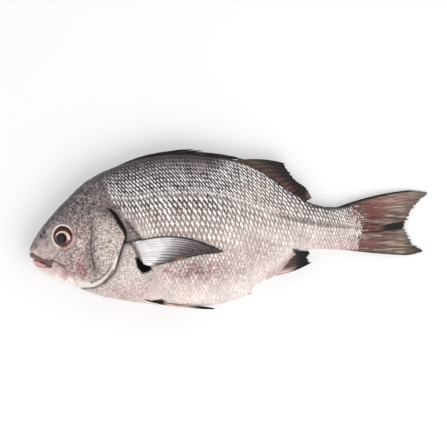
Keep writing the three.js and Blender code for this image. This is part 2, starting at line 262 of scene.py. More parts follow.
def eye_place(side, x=EYE_X):
    """Centre of an eyeball and the direction it looks in."""
    out = skin_normal(x, EYE_Y, side)
    height = float(mid_height(x)) + side * float(flesh_depth(x, EYE_Y))
    return Vector((x, EYE_Y, height)) + out * (EYE_BULGE - EYE_DEPTH), out


# The shift between the sketch frame and the part's frame, read from one eyeball.
eye_low, eye_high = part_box("eye_left")
eye_shift = eye_place(1, SOLID_EYE_X)[0] - (eye_low + eye_high) / 2 / MM
ORIGIN = np.array([eye_shift.x, eye_shift.y, RESTING_CUT])


def to_row(points):
    return (np.asarray(points, float) - ORIGIN) * MM


def photo_mm(u, v):
    """A place in the photo as (x, y) in the sketch frame."""
    return (u - PHOTO_SNOUT_U) * PHOTO_SCALE, (PHOTO_LEVEL_V - v) * PHOTO_SCALE


# Colours: red, green and blue of 0 to 255, with a gain as a fourth value where it isn't 1.

PAINT_SHARE = 0.8  # of a shown tone that is paint; light and gloss add the rest
BRIGHTEST = 1.18  # of the palest paint, in the same measure


def srgb(red, green, blue, gain=1.0):
    """A display colour as linear light."""
    c = np.array([red, green, blue]) / 255
    return gain * np.where(c <= 0.04045, c / 12.92, ((c + 0.055) / 1.055) ** 2.4)


def ramp(t, stops):
    """Tones along t through stops of a position and a colour."""
    at = [position for position, _ in stops]
    tones = np.array([srgb(*colour) for _, colour in stops])
    return np.stack([np.interp(t, at, tones[:, k]) for k in range(3)], axis=-1)


def shaded(tone, share):
    return tone * np.asarray(share)[..., None]


def blend(tone, other, amount):
    return shaded(tone, 1 - np.asarray(amount)) + shaded(other, amount)


def paint(tone, *layers):
    """Lays colours over a tone, each given with its amount of 0 to 1."""
    for colour, amount in layers:
        tone = blend(tone, srgb(*colour), amount)
    return tone


# Tones from belly to back: dark edges and bright middles of the scales, whose silver carries a painted
# highlight, and the head.
EDGE_TONES = [
    (0.0, (248, 234, 229)), (0.12, (234, 215, 211)), (0.28, (202, 182, 179)),
    (0.44, (186, 169, 165)), (0.56, (160, 145, 141)), (0.64, (118, 106, 103)),
    (0.73, (60, 52, 51)), (0.86, (24, 20, 22)), (1.0, (20, 16, 18)),
]
MIDDLE_AND_SHEEN_TONES = [
    (0.0, (252, 243, 239, 1.04)), (0.15, (253, 244, 241, 1.12)), (0.35, (254, 246, 243, 1.18)),
    (0.58, (255, 250, 247, 1.18)), (0.7, (255, 251, 250, 1.18)), (0.83, (250, 243, 247, 1.14)),
    (0.91, (216, 206, 210)), (0.97, (112, 101, 105)), (1.0, (44, 37, 40)),
]
HEAD_TONES = [
    (0.0, (248, 237, 232)), (0.08, (238, 221, 215)), (0.2, (214, 192, 188)),
    (0.45, (244, 223, 219)), (0.6, (210, 189, 186)), (0.72, (162, 142, 140)),
    (0.86, (128, 115, 116)), (1.0, (50, 43, 45)),
]
BLACK = (22, 17, 18)

# Marks and folds of the skin, as chains of points (x, y).
UPPER_LIP = [(1.5, -26.6), (8, -28.6), (14.5, -30.8), (19.4, -32)]
LOWER_LIP = [(4.4, -32), (8, -33.6), (12.4, -35), (18, -35.8)]
MOUTH_LINE = [(2.4, -29.8), (6.1, -30.5), (10.5, -32), (12.8, -33.7), (15.2, -34.9), (18.6, -35.5)]
INNER_LIP = [(1.6, -28), (5, -29), (9.4, -30.8)]
UNDER_LIP = [(5, -34.4), (8, -35), (12.2, -36), (17.4, -36.2)]
ROSY_CHIN = [(10.6, -37.3), (15.4, -38.3)]
JAW_CREASE = [(19.7, -30.4), (26.1, -34.1), (30, -36)]
COVER_CREASE = [(52.6, -1), (52.3, -8), (51.8, -16), (51.9, -24), (53.2, -31), (55.4, -38)]
COVER_FRONT = [(x + 3.5, y) for x, y in COVER_CREASE]
# Where painted shade runs along the top of the gill cover.
COVER_TOP_SHADE = [(50, 16), (62, 13), (71, 7), (77, 0)]
COVER_LOW_EDGE = [(52, -49.2), (59, -45.8), (65.4, -40.6), (69.4, -32.6)]
RIM_LOW_EDGE = [(44, -54.2), (54.9, -53.2), (60.8, -50), (66, -45), (70.4, -38.6)]
SHOULDER_FOLD = [(80.5, 3), (84, -1), (89, -7), (93.8, -12.9)]
PECTORAL_LINE = [(81, -15.8), (86.3, -14.6), (93.8, -12.9)]
PECTORAL_ROOT = [(84.5, -16.4), (88, -20), (90.4, -25), (92, -30)]
ANAL_SEAM = [(200, -43.5), (207, -38.5), (214, -31.6), (219, -26.6)]

# Patches of the skin, as closed outlines.
UPPER_LIP_SKIN = [
    (1.2, -24.4), (2.8, -23.9), (6.7, -26.3), (11.9, -29.1), (16.9, -29.9), (20.4, -30.7),
    (19.8, -34), (17.4, -35), (13.4, -34), (9.6, -32), (5, -30.4), (1, -29.4),
]
# The pale rim of gill skin that shows below the scaled part of the gill cover.
GILL_RIM = [
    (73, -26), (70.2, -33), (66.2, -40.8), (59.6, -46.2), (52, -49.6), (41, -49.8),
    (40, -56), (54, -55), (66, -49), (72.5, -41), (75.5, -31),
]
SHOULDER_SHADE = [(79, 4), (84, 0), (93, -11.5), (93, -13), (80.5, -14.5), (82, -9)]
# The hollow behind the root of the pectoral fin.
AXIL = [
    (88.2, -28.4), (90.6, -27.6), (95, -32), (101.8, -34.6), (102.6, -38.4), (98.8, -41),
    (94.1, -42), (89.8, -36.4),
]
PELVIC_SPOT = [
    (99, -64.4), (105, -63.4), (110.4, -62.6), (114.4, -64.8), (110, -66.2), (103, -65.8),
]
ANAL_SPOT = [
    (218.8, -20.6), (222, -20.8), (226, -22.4), (231, -23.6), (231, -27), (224.6, -27.6),
    (220, -24.4),
]
NOSTRILS = [(12.5, -7.1, 1.0), (10.2, -10.7, 0.8)]

# Folds that stand up from the skin or sink into it: height, chain and width.
FOLDS = [
    (0.9, UPPER_LIP, 1.9), (1.0, LOWER_LIP, 1.7), (-1.5, MOUTH_LINE, 0.6),
    (-0.7, JAW_CREASE, 1.0), (0.5, COVER_FRONT, 3), (-0.7, COVER_LOW_EDGE, 0.8),
    (-1.3, SHOULDER_FOLD, 1.6), (-0.8, PECTORAL_LINE, 1.0),
]


def head_share(x, y):
    """1 on the head and 0 on the trunk."""
    return fade(x - gill_edge(y), -1.5, 1.5)


def from_eye(x, y):
    """Distance from the eye's middle, measured so that its oval rim is a circle."""
    return np.hypot((x - EYE_X) * 1.02, (y - EYE_Y) / EYE_TALLNESS)


def from_nostrils(x, y):
    """Each nostril's distance, measured so that it is a circle, and its radius."""
    return [(np.hypot(x - nx, (y - ny) * 0.7), radius) for nx, ny, radius in NOSTRILS]


def head_tone(x, y, rise):
    uneven = (0.76 + 0.42 * lumps(x, y, 5, 3)) * (0.66 + 0.64 * lumps(x, y, 2.1, 13))
    patchy = smooth(lumps(x, y, 1.9, 14), 0.15, 0.75)
    crown = fade(back(x) - y, 1.5, 10)
    flecked = np.maximum(smooth(y, -6, 4) * smooth(rise, 0.55, 0.7), 0.75 - smooth(x, 16, 30))
    flecked = np.maximum(flecked, 0) * (1 - 0.8 * crown) * smooth(rise, 0.42, 0.52)
    crackle = spot(x, y, (61, -10), (5, 7)) * smooth(lumps(x, y, 1.8, 4), 0.4, 0.6)
    return paint(
        shaded(ramp(rise, HEAD_TONES), uneven),
        ((246, 233, 226, 1.08), 0.9 * spot(x, y, (66, -18), (12, 30)) * smooth(x, 51, 56)),
        ((252, 246, 234, 1.1), crackle),
        ((116, 105, 106), 0.55 * stroke(COVER_CREASE, x, y, 5)),
        # Painted shade along the top of the gill cover.
        ((86, 78, 80), 0.75 * stroke(COVER_TOP_SHADE, x, y, 5)),
        ((206, 190, 192), spot(x, y, (13, -13), (7, 9)) * (0.2 + 0.55 * patchy)),
        ((196, 172, 172), 0.6 * spot(x, y, (18, -24), (9, 6))),
        ((64, 54, 57), 0.75 * crown * (1 - 0.6 * patchy) * smooth(x, 2, 12)),
        ((58, 50, 52), 0.55 * flecked * smooth(lumps(x, y, 1.6, 15), 0.45, 0.8)),
        ((224, 214, 212), 0.6 * flecked * smooth(lumps(x, y, 1.3, 16), 0.5, 0.8)),
        ((190, 96, 98), spot(x, y, (44, -38), (3.4, 7)) * (0.4 + 0.6 * lumps(x, y, 2, 5))),
        ((214, 160, 166), 0.7 * spot(x, y, (30, -41), (12, 3.5))),
        ((240, 224, 218), 0.8 * spot(x, y, (12, -40), (9, 4))),
    )


def gill_membrane_and_shadow(x, y):
    """1 on the black skin and painted shadow along the upper half of the gill cover's edge."""
    behind = x - gill_edge(y) + 1.4 * (lumps(x, y, 1.2, 12) - 0.5)
    along = smooth(y, -17, -8) * fade(y, 11, 15)
    width = 1.4 + 2.0 * bell(y - 2, 8)
    return along * smooth(behind + width, -0.5, 0.5) * fade(behind, 0.8, 1.6)


def mouth_tone(tone, x, y):
    """Maroon upper lip, rosy lower lip and the painted shade of the gap between them."""
    return paint(
        tone,
        ((104, 68, 76), 0.9 * patch(UPPER_LIP_SKIN, x, y, 0.5)),
        ((214, 160, 168), 0.75 * stroke(INNER_LIP, x, y, 0.6)),
        ((238, 230, 220), 0.9 * spot(x, y, (8, -37.6), (5, 2))),
        ((144, 74, 78), 0.9 * stroke(UNDER_LIP, x, y, 0.9)),
        ((252, 206, 206), 0.7 * stroke(ROSY_CHIN, x, y, 0.9)),
        ((255, 168, 172), 0.95 * spot(x, y + 0.42 * (x - 7.6), (7.6, -32.9), (3.6, 1.3))),
        ((134, 28, 44), 0.9 * spot(x, y, (12.2, -32.6), (2.6, 0.9))),
        # Painted shade in the gap between the lips and at the mouth's corner.
        ((52, 14, 20), 0.9 * stroke(MOUTH_LINE, x, y, 0.5)),
        ((30, 8, 10), 0.9 * spot(x, y, (18.4, -35.4), (1, 1))),
    )


def face_tone(tone, x, y):
    """Adds the eye's rim with its painted highlight and shade, painted shade in its socket, the lips, and
    painted shade in the nostrils and the creases of the head.
    """
    around_eye = from_eye(x, y)
    rear = smooth((x - EYE_X) - 0.7 * (y - EYE_Y), -3, 7)
    lit = fade(0.9 * (x - EYE_X) - 0.75 * (y - EYE_Y), 0, 7)
    rim = smooth(around_eye, 8.1, 8.4) * fade(around_eye, 8.8, 9.4)
    tone = paint(
        tone,
        ((172, 122, 108), 0.6 * rear * bell(around_eye - 10.2, 1.5)),
        # The eye's rim: a painted highlight on its front upper side and painted shade on the rest.
        ((128, 82, 72), rim * (1 - lit)),
        ((255, 240, 240, 1.08), rim * lit),
        # Painted shade in the socket round the eyeball.
        ((60, 22, 20), fade(around_eye, 7.7, 8.1)),
        ((250, 238, 234), 0.95 * patch(GILL_RIM, x, y, 0.5)),
    )
    return paint(
        mouth_tone(tone, x, y),
        # Painted shade in the jaw crease, the nostrils, the gill cover's crease and along its lower edge.
        ((48, 40, 42), 0.8 * stroke(JAW_CREASE, x, y, 0.9)),
        *(((24, 12, 16), bell(away, 1.7 * radius)) for away, radius in from_nostrils(x, y)),
        ((36, 31, 34), 0.9 * stroke(COVER_CREASE, x, y, 0.8) * smooth(-y, -3, 6)),
        ((50, 44, 46), 0.8 * stroke(COVER_LOW_EDGE, x, y, 0.7)),
    )


def tone_level(x, rise):
    """Place in the ramps: behind the spines the back stays pale up to its ridge."""
    paler = 0.23 * smooth(x, 150, 185) * smooth(rise, 0.5, 0.9)
    return rise - paler * (1 - 0.9 * smooth(rise, 0.97, 1.0))


def stained_and_shaded(tone, x, y, rise, rosy_rear=(206, 150, 154)):
    """Adds the marks of the trunk: blood under the skin, rosy parts and painted shade in its folds."""
    fine = lumps(x, y, 1.3, 9)
    ridge = smooth(x, 222, 232) * fade(back(x) - y, 1.0, 3.6)
    bruised = spot(x, y, (139, -39), (28, 9))
    low = fade(rise, 0.3, 0.55) * smooth(rise, 0.08, 0.2) * smooth(x, 95, 130)
    throat = spot(x, y, (80, -59), (24, 8)) * (0.5 + lumps(x, y, 2.6, 6))
    return paint(
        shaded(tone, 0.86 + 0.28 * lumps(x, y, 9, 7)),
        ((30, 25, 28), 0.9 * ridge),
        ((222, 190, 186), 0.3 * spot(x, y, (185, -24), (26, 18))),
        ((104, 74, 72), 0.85 * bruised * smooth(fine, 0.35, 0.65)),
        ((190, 98, 100), 0.5 * bruised * smooth(lumps(x, y, 2.4, 8), 0.45, 0.75)),
        ((126, 110, 110), 0.36 * low * smooth(lumps(x, y, 1.5, 10), 0.45, 0.8)),
        ((226, 178, 178), 0.5 * throat),
        (rosy_rear, 0.6 * smooth(x, 222, 262) * fade(rise, 0.04, 0.4)),
        ((160, 122, 124), 0.7 * stroke(ANAL_SEAM, x, y, 2.4) * (0.5 + 0.5 * fine)),
        (BLACK, 0.97 * patch(PELVIC_SPOT, x, y, 0.5)),
        ((150, 72, 74), 0.5 * smooth(x, 264, 280) * smooth(rise, 0.35, 0.8)),
        ((134, 124, 125), 0.75 * patch(SHOULDER_SHADE, x, y, 1.4)),
        (BLACK, 0.97 * patch(ANAL_SPOT, x, y, 0.5)),
        # Painted shade along the shoulder's sunken fold.
        ((36, 30, 32), 0.75 * stroke(SHOULDER_FOLD, x, y, 1.1)),
        (BLACK, 0.97 * stroke(PECTORAL_LINE, x, y, 1.9 - 0.06 * (x - 81))),
        ((46, 38, 40), 0.9 * stroke(PECTORAL_ROOT, x, y, 1.2 + 0.6 * fine)),
        (BLACK, patch(AXIL, x, y, 0.6)),
    )


def skin_tone(x, y):
    """Colour of the bare skin, without its fine speckle, at (x, y) of either side."""
    rise = rise_at(x, y)
    level = tone_level(x, rise)
    trunk = ramp(level, EDGE_TONES) * 0.55 + ramp(level, MIDDLE_AND_SHEEN_TONES) * 0.45
    bare = fade(x - scale_front(y), -2, 4)
    trunk = blend(trunk, ramp(rise, HEAD_TONES), bare * smooth(y, -10, 2))
    trunk = stained_and_shaded(trunk, x, y, rise)
    trunk = blend(trunk, tail_tone(x, y, (x - 262) / 60, 0.5), smooth(x, 268, 276))
    head = face_tone(head_tone(x, y, rise), x, y)
    behind = x - gill_edge(y)
    cover_edge_shadow = smooth(behind, -0.9, -0.3) * fade(behind, 0.8, 1.6)
    return paint(
        blend(trunk, head, head_share(x, y)),
        # Painted shadow along the gill cover's edge and under the gill rim's lower edge; black skin and
        # painted shadow at the cover's upper edge.
        ((34, 28, 30), 0.9 * cover_edge_shadow * smooth(y, -55, -50) * fade(y, 11, 16)),
        ((44, 36, 38), 0.85 * stroke(RIM_LOW_EDGE, x, y, 0.9)),
        (BLACK, 0.97 * gill_membrane_and_shadow(x, y)),
    )


def scale_tones(x, y):
    """Colours of a scale's edge and of its middle, whose silver carries a painted highlight."""
    rise = rise_at(x, y)
    level = tone_level(x, rise)
    paler = 0.5 * smooth(x, 150, 185) * fade(rise, 0.3, 0.65)
    edge = paint(ramp(level, EDGE_TONES), ((226, 216, 217), paler))
    edge = stained_and_shaded(edge, x, y, rise, (166, 112, 120))
    return edge, stained_and_shaded(ramp(level, MIDDLE_AND_SHEEN_TONES), x, y, rise, (250, 220, 222))


def skin_relief(x, y):
    """Height of the skin's features over the plain body."""
    relief = sum(height * stroke(chain, x, y, width) for height, chain, width in FOLDS)
    relief -= 0.9 * stroke(COVER_CREASE, x, y, 1.1) * smooth(-y, -3, 6)
    relief -= 1.2 * patch(AXIL, x, y, 1.0)
    around_eye = from_eye(x, y)
    relief += 0.9 * bell(around_eye - 8.8, 0.8) - 0.2 * bell(around_eye - 10.8, 0.8)
    relief -= 3.6 * fade(around_eye, 6.6, 8.0)
    for away, radius in from_nostrils(x, y):
        relief += 0.3 * bell(away - 1.9 * radius, 0.7) - 1.3 * bell(away, radius)
    cover = 0.8 * bell(x - 66, 12) * bell(y + 20, 24)
    wrinkle = 0.16 * np.sin(x / 3.1 + 2 * np.sin(y / 4.3)) * np.sin(y / 2.7 + x / 9)
    return relief + head_share(x, y) * (cover + wrinkle)


# Materials.

class Nodes:
    """Short calls for the nodes of one tree; a value may be a socket or plain."""

    def __init__(self, tree):
        self.tree = tree

    def feed(self, socket, value):
        if isinstance(value, bpy.types.NodeSocket):
            self.tree.links.new(value, socket)
        elif socket.type == "RGBA":
            socket.default_value = (*value, 1)
        else:
            socket.default_value = value

    def add(self, kind, output, values=None, **settings):
        """One output of a new node, whose inputs take values by name or number."""
        node = self.tree.nodes.new("ShaderNode" + kind)
        for name, setting in settings.items():
            setattr(node, name, setting)
        for name, value in (values or {}).items():
            self.feed(node.inputs[name], value)
        return node.outputs[output]

    def attribute(self, name, output="Fac"):
        return self.add("Attribute", output, attribute_name=name)

    def texture(self, kind, output, size_mm, **values):
        """A texture whose grain is about size_mm across, fixed to the part."""
        place = self.add("TexCoord", "Object")
        return self.add("Tex" + kind, output, {"Vector": place, "Scale": 1 / (size_mm * MM), **values})

    def noise(self, size_mm, detail=2.0, roughness=0.5):
        return self.texture("Noise", "Fac", size_mm, Detail=detail, Roughness=roughness)

    def remap(self, value, low, high, to_low=0.0, to_high=1.0):
        ends = {"From Min": low, "From Max": high, "To Min": to_low, "To Max": to_high}
        return self.add("MapRange", "Result", {"Value": value, **ends}, interpolation_type="SMOOTHSTEP")

    def math(self, operation, first, *others):
        for other in others:
            first = self.add("Math", 0, {0: first, 1: other}, operation=operation)
        return first

    def times(self, *values):
        return self.math("MULTIPLY", *values)

    def plus(self, *values):
        return self.math("ADD", *values)

    def absolute(self, value):
        return self.math("ABSOLUTE", value, 0)

    def swing(self, value, gain):
        """A value of 0 to 1 laid round zero, times the gain."""
        return self.times(self.math("SUBTRACT", value, 0.5), gain)

    def mix(self, amount, a, b, mode="MIX"):
        colours = {0: amount, 6: a, 7: b}
        return self.add("Mix", 2, colours, data_type="RGBA", blend_type=mode)

    def tinted(self, colour, tint):
        return self.mix(1.0, colour, tint, "MULTIPLY")

    def bump(self, height, distance_mm, strength):
        values = {"Strength": strength, "Distance": distance_mm * MM, "Height": height}
        return self.add("Bump", "Normal", values)


class Surface(Nodes):
    """A material; its constant values sit on the shader's own sockets."""

    def __init__(self, name, roughness, specular=0.5, coat=0.0, coat_roughness=0.1):
        self.material = bpy.data.materials.new(name)
        self.material.use_nodes = True
        super().__init__(self.material.node_tree)
        self.shader = self.tree.nodes["Principled BSDF"]
        self.set("Roughness", roughness)
        self.set("Specular IOR Level", specular)
        self.set("Coat Weight", coat)
        self.set("Coat Roughness", coat_roughness)

    def set(self, name, value):
        self.feed(self.shader.inputs[name], value)


def skin_material():
    """Wet skin: fine silvery and dark grains over the painted tone."""
    specular, coat = 0.3, 0.15
    skin = Surface("wet_skin", 0.36, specular, coat, coat_roughness=0.14)
    tone = skin.attribute("tone", "Color")
    grain_share = skin.attribute("grain")
    grain = skin.texture("Voronoi", "Distance", 1.25)
    chance = skin.remap(grain.node.outputs["Color"], 0.35, 0.8)
    on_pale = skin.remap(tone, 0.02, 0.3, 0.55, 1.0)
    bright = skin.times(skin.remap(grain, 0.5, 0.15), chance, grain_share, on_pale)
    dark = skin.times(skin.remap(skin.noise(1.6, 3.0, 0.7), 0.64, 0.36), grain_share)
    lit = skin.mix(0.5, tone, srgb(255, 248, 246))
    deep = skin.tinted(tone, srgb(138, 126, 126))
    skin.set("Base Color", skin.mix(bright, skin.mix(dark, tone, deep), lit))
    gloss = skin.attribute("gloss")
    skin.set("Specular IOR Level", skin.times(gloss, specular))
    skin.set("Coat Weight", skin.times(gloss, coat))
    raised = skin.times(skin.remap(grain, 0.0, 0.6, 1.0, 0.0), grain_share)
    skin.set("Normal", skin.bump(raised, 0.35, 0.8))
    return skin.material


def scale_material():
    """Overlapping scales: each has a dark thin edge and a bright silver middle with a painted highlight."""
    scale = Surface("wet_scales", 0.34, 0.26, coat=0.14, coat_roughness=0.12)
    place = scale.add("UVMap", "UV", uv_map="plate")
    forward = scale.add("SeparateXYZ", "X", {0: place})
    upward = scale.swing(forward.node.outputs["Y"], 1.0)
    slanted = scale.plus(scale.swing(forward, 1.0), scale.times(upward, scale.attribute("slant")))
    rim = scale.plus(
        scale.times(scale.absolute(slanted), 2.0),
        scale.times(scale.absolute(upward), 2.1),
        scale.swing(scale.attribute("luck"), 0.3),
        scale.swing(scale.noise(1.3), 0.7),
    )
    sharp = scale.swing(scale.remap(rim, 0.52, 0.8), scale.attribute("crisp"))
    edge, bright = scale.attribute("tone", "Color"), scale.attribute("bright", "Color")
    colour = scale.mix(scale.plus(sharp, 0.5), bright, edge)
    dull = scale.tinted(colour, srgb(226, 218, 218))
    fine = scale.remap(scale.noise(1.0, 1.0), 0.56, 0.42)
    scale.set("Base Color", scale.mix(fine, colour, dull))
    return scale.material


def fin_material():
    """Thin wet fin skin with streaks along its rays."""
    fin = Surface("wet_fin", 0.4, 0.14, coat=0.06, coat_roughness=0.2)
    tone = fin.attribute("tone", "Color")
    place = fin.add("UVMap", "UV", uv_map="plate")
    place = fin.add("Mapping", "Vector", {"Vector": place, "Scale": (5.0, 2.2, 1.0)})
    streak = fin.add("TexNoise", "Fac", {"Vector": place, "Scale": 1.0, "Detail": 3.0})
    dark = fin.tinted(tone, srgb(202, 194, 192))
    light = fin.tinted(tone, (1.25, 1.25, 1.25))
    fin.set("Base Color", fin.mix(fin.remap(streak, 0.3, 0.7), dark, light))
    fin.set("Normal", fin.bump(streak, 0.15, 0.5))
    return fin.material


def eye_material():
    """A wet eyeball: the painted tone with faint flecks under a glossy coat."""
    eye = Surface("wet_eye", 0.2, 0.2, coat=0.15, coat_roughness=0.03)
    tone = eye.attribute("tone", "Color")
    flecks = eye.remap(eye.noise(0.8, 3.0), 0.35, 0.65)
    dark = eye.tinted(tone, srgb(226, 218, 214))
    eye.set("Base Color", eye.mix(flecks, dark, tone))
    return eye.material


# Meshes.

def add_mesh(name, points, faces, material, slot, uv=None, values=None, **tones):
    """A mesh from points in the sketch frame. uv, values and tones go with the points."""
    mesh = bpy.data.meshes.new(name)
    mesh.from_pydata(to_row(points).tolist(), [], faces)
    mesh.polygons.foreach_set("use_smooth", [True] * len(mesh.polygons))
    if uv is not None:
        corner = np.zeros(len(mesh.loops), int)
        mesh.loops.foreach_get("vertex_index", corner)
        layer = mesh.uv_layers.new(name="plate")
        layer.data.foreach_set("uv", np.asarray(uv, float)[corner].ravel())
    for key, value in (values or {}).items():
        attribute = mesh.attributes.new(key, "FLOAT", "POINT")
        attribute.data.foreach_set("value", np.asarray(value, np.float32).ravel())
    for key, tone in tones.items():
        attribute = mesh.color_attributes.new(key, "FLOAT_COLOR", "POINT")
        rgba = np.insert(np.clip(tone, 0, BRIGHTEST) * PAINT_SHARE, 3, 1, axis=1)
        attribute.data.foreach_set("color", rgba.astype(np.float32).ravel())
    mesh.validate()
    piece = bpy.data.objects.new(name, mesh)
    bpy.context.scene.collection.objects.link(piece)
    piece.data.materials.append(material)
    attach(piece, "root")
    return piece


def grid_faces(rows, columns, closed=False, start=0):
    """Quads of a grid stored row by row; `closed` joins its last column to its first."""
    i = np.arange(rows - 1)[:, None]
    j = np.arange(columns if closed else columns - 1)[None, :]
    a = i * columns + j
    b = i * columns + (j + 1) % columns
    faces = np.stack([a, a + columns, b + columns, b], axis=-1).reshape(-1, 4) + start
    return faces.tolist()


def fan_faces(tip, first, around, inward=False):
    """Triangles from a tip to a ring of points."""
    ring = [(first + j, first + (j + 1) % around) for j in range(around)]
    return [[tip, b, a] if inward else [tip, a, b] for a, b in ring]


def unit(vectors):
    return vectors / np.maximum(np.linalg.norm(vectors, axis=2, keepdims=True), 1e-9)


def ball(rings, around):
    """Points and faces of a unit ball round +Z."""
    polar = np.pi * np.arange(1, rings)[:, None] / rings
    turn = 2 * np.pi * np.arange(around)[None, :] / around
    parts = np.sin(polar) * np.cos(turn), np.sin(polar) * np.sin(turn), np.cos(polar)
    grid = np.stack(np.broadcast_arrays(*parts), axis=-1).reshape(-1, 3)
    points = np.concatenate([[(0, 0, 1)], grid, [(0, 0, -1)]])
    faces = grid_faces(rings - 1, around, closed=True, start=1) + fan_faces(0, 1, around)
    end = len(points) - 1
    return points, faces + fan_faces(end, end - around, around, inward=True)


# The skin of head and trunk.

# How the skin runs round the gill cover's edge and into the slit behind it: distance
# behind the edge and height over the cover.
EDGE_FOLD = [
    (0.25, -0.2), (0.35, -0.6), (0.1, -1.1), (-1.0, -1.6), (-2.4, -2.3), (-3.0, -3.3),
    (-2.6, -4.2), (-1.2, -4.4), (0.6, -3.7), (2.0, -2.7), (3.4, -1.9), (5.0, -1.5),
]
FOLD_END = EDGE_FOLD[-1][0]


def gill_edge_at(turn):
    """x of the gill cover's edge along each line of the skin, by halving."""
    before, after = np.full(turn.shape, 30.0), np.full(turn.shape, 95.0)
    for _ in range(30):
        x = (before + after) / 2
        short = x < gill_edge(body_point(x, turn)[..., 1])
        before, after = np.where(short, x, before), np.where(short, after, x)
    return before


def skin_rows(turn, head_rows=110, trunk_rows=150):
    """x, swell and share of gill slit along every ring of the skin."""
    edge = gill_edge_at(turn)
    below_top = GILL_EDGE_TOP - body_point(edge, turn)[:, 1]
    opened = smooth(below_top, 0, 6) * smooth(np.abs(np.sin(turn)), 0.05, 0.3)
    none = np.zeros(len(turn))
    rows = []
    for i in range(1, head_rows + 1):
        share = i / head_rows
        share = (share**2 + share) / 2
        rows.append((edge * share, GILL_COVER_LIFT * smooth(share, 0.55, 1) * opened, none))
    for k, (behind, drop) in enumerate(EDGE_FOLD, 1):
        plain = FOLD_END * k / len(EDGE_FOLD)
        slit = smooth(-drop, 0.1, 0.9) * fade(behind, 0.9, 2.4) * opened
        rows.append((edge + plain + (behind - plain) * opened, (GILL_COVER_LIFT + drop) * opened, slit))
    start = edge + FOLD_END
    for i in range(1, trunk_rows + 1):
        rows.append((start + (TRUNK_END - start) * i / trunk_rows, none, none))
    return (np.array(values) for values in zip(*rows))


def skin_grain(x, y, slit, membrane_and_shadow):
    """Share of the fine silvery grain."""
    head = head_share(x, y) * (0.4 + 0.6 * smooth(x, 14, 34)) * (1 - slit)
    head = head * smooth(from_eye(x, y), 9.5, 11.5) * smooth(y - belly(x), 4, 12)
    head = head * (1 - membrane_and_shadow) * (1 - 0.6 * stroke(COVER_CREASE, x, y, 1))
    head = head * (1 - 0.8 * patch(GILL_RIM, x, y, 0.5))
    bare = fade(x - scale_front(y), -3, 5)
    trunk = 0.7 + 0.3 * bare * smooth(y, -16, -8)
    beyond = np.maximum(smooth(x - gill_edge(y), 1, 3), smooth(y, 12, 16))
    return np.maximum(head, trunk * beyond * (1 - patch(AXIL, x, y, 1)))


def seam_faces(last, around):
    """Closes the last ring of the skin, whose two sides lie on each other."""
    faces = []
    for j in range(around // 2):
        corners = [j, (around - j) % around, around - j - 1, j + 1]
        faces.append([last + corner for corner in dict.fromkeys(corners)])
    return faces


def build_skin(material):
    around = 300
    turn = 2 * np.pi * np.arange(around) / around
    x, swell, slit = skin_rows(turn)
    grid = body_point(x, turn[None, :], swell)
    y = grid[..., 1]
    normal = unit(np.cross(np.roll(grid, -1, axis=1) - np.roll(grid, 1, axis=1), np.gradient(grid, axis=0)))
    grid = grid + normal * (skin_relief(x, y) * (1 - slit))[..., None]
    grid[..., 2] = smooth_max(grid[..., 2], RESTING_CUT + SKIN_CLEARANCE, 0.4)
    # The inside of the gill slit is painted near black: dark inner skin and painted shade.
    tone = paint(skin_tone(x, y), ((14, 8, 9), slit))
    membrane_and_shadow = gill_membrane_and_shadow(x, y)
    hollow = patch(AXIL, x, y, 0.8)
    gloss = 1 - np.maximum.reduce([slit, hollow, 0.8 * stroke(PECTORAL_LINE, x, y, 2), 0.9 * membrane_and_shadow])
    snout = body_point(np.array([0.0]), np.array([0.0]))
    points = np.concatenate([snout, grid.reshape(-1, 3)])
    faces = grid_faces(len(x), around, closed=True, start=1) + fan_faces(0, 1, around)
    faces += seam_faces(len(points) - around, around)
    grain = skin_grain(x, y, slit, membrane_and_shadow)
    values = {"grain": np.append(0, grain.ravel()), "gloss": np.append(1, gloss.ravel())}
    tones = np.concatenate([tone[:1, 0], tone.reshape(-1, 3)])
    return add_mesh("skin", points, faces, material, "skin", values=values, tone=tones)


VENT = (181.4, -54.6)
VENT_REACH = (4.3, 4.6, 3.4)
# Tones of the vent's lobe from its belly side up; the dark belly side is painted shade.
VENT_TONES_WITH_SHADE = [
    (0.0, (150, 132, 132)), (0.12, (226, 206, 202)), (0.3, (250, 240, 234)),
    (1.0, (246, 232, 226)),
]


def build_vent(material):
    """The small fleshy lobe at the vent, with painted shade on its side towards the belly."""
    points, faces = ball(20, 32)
    tone = ramp((points[:, 1] + 1) / 2, VENT_TONES_WITH_SHADE)
    points = points + 0.25 * points[:, 1:2] * (-1, 0, 0)
    points = (*VENT, float(mid_height(VENT[0]))) + points * VENT_REACH
    values = {"gloss": np.ones(len(points)), "grain": np.full(len(points), 0.2)}
    return add_mesh("vent", points, faces, material, "skin", values=values, tone=tone)


# Scales.

# Spacing of the scales along a row and between rows, as (x, mm).
LENGTH_BELOW = [
    (40, 2.8), (85, 2.9), (100, 3.2), (121, 4.2), (142, 4.2), (163, 3.8), (184, 3.3),
    (204, 3.0), (225, 2.75), (246, 2.8), (262, 2.0), (340, 1.6),
]
PITCH_BELOW = [
    (40, 4.0), (85, 5.0), (121, 5.2), (163, 5.2), (204, 4.9), (225, 4.0), (246, 4.0),
    (258, 3.0), (270, 2.2), (340, 2.0),
]
LENGTH_ABOVE = [
    (40, 2.4), (84, 2.8), (100, 3.2), (121, 3.1), (142, 2.6), (163, 2.5), (184, 2.75),
    (205, 3.0), (225, 2.95), (246, 2.75), (262, 2.0), (340, 1.6),
]
PITCH_ABOVE = [
    (40, 3.1), (84, 3.5), (100, 3.8), (142, 3.65), (163, 3.5), (205, 3.4), (225, 3.8),
    (246, 3.9), (258, 3.0), (270, 2.2), (340, 2.0),
]
LENGTH_LOWEST = [(x, 0.82 * length) for x, length in LENGTH_BELOW]
PITCH_LOWEST = [(x, 0.62 * pitch) for x, pitch in PITCH_BELOW]
LEAN_START, LEAN_AT_BACK, LEAN_SPAN = -18, 0.62, 62.4

# Points of one scale along and across it, and where its front edge lies.
ALONG, ACROSS = 4, 7
PLATE_FRONT = -0.78


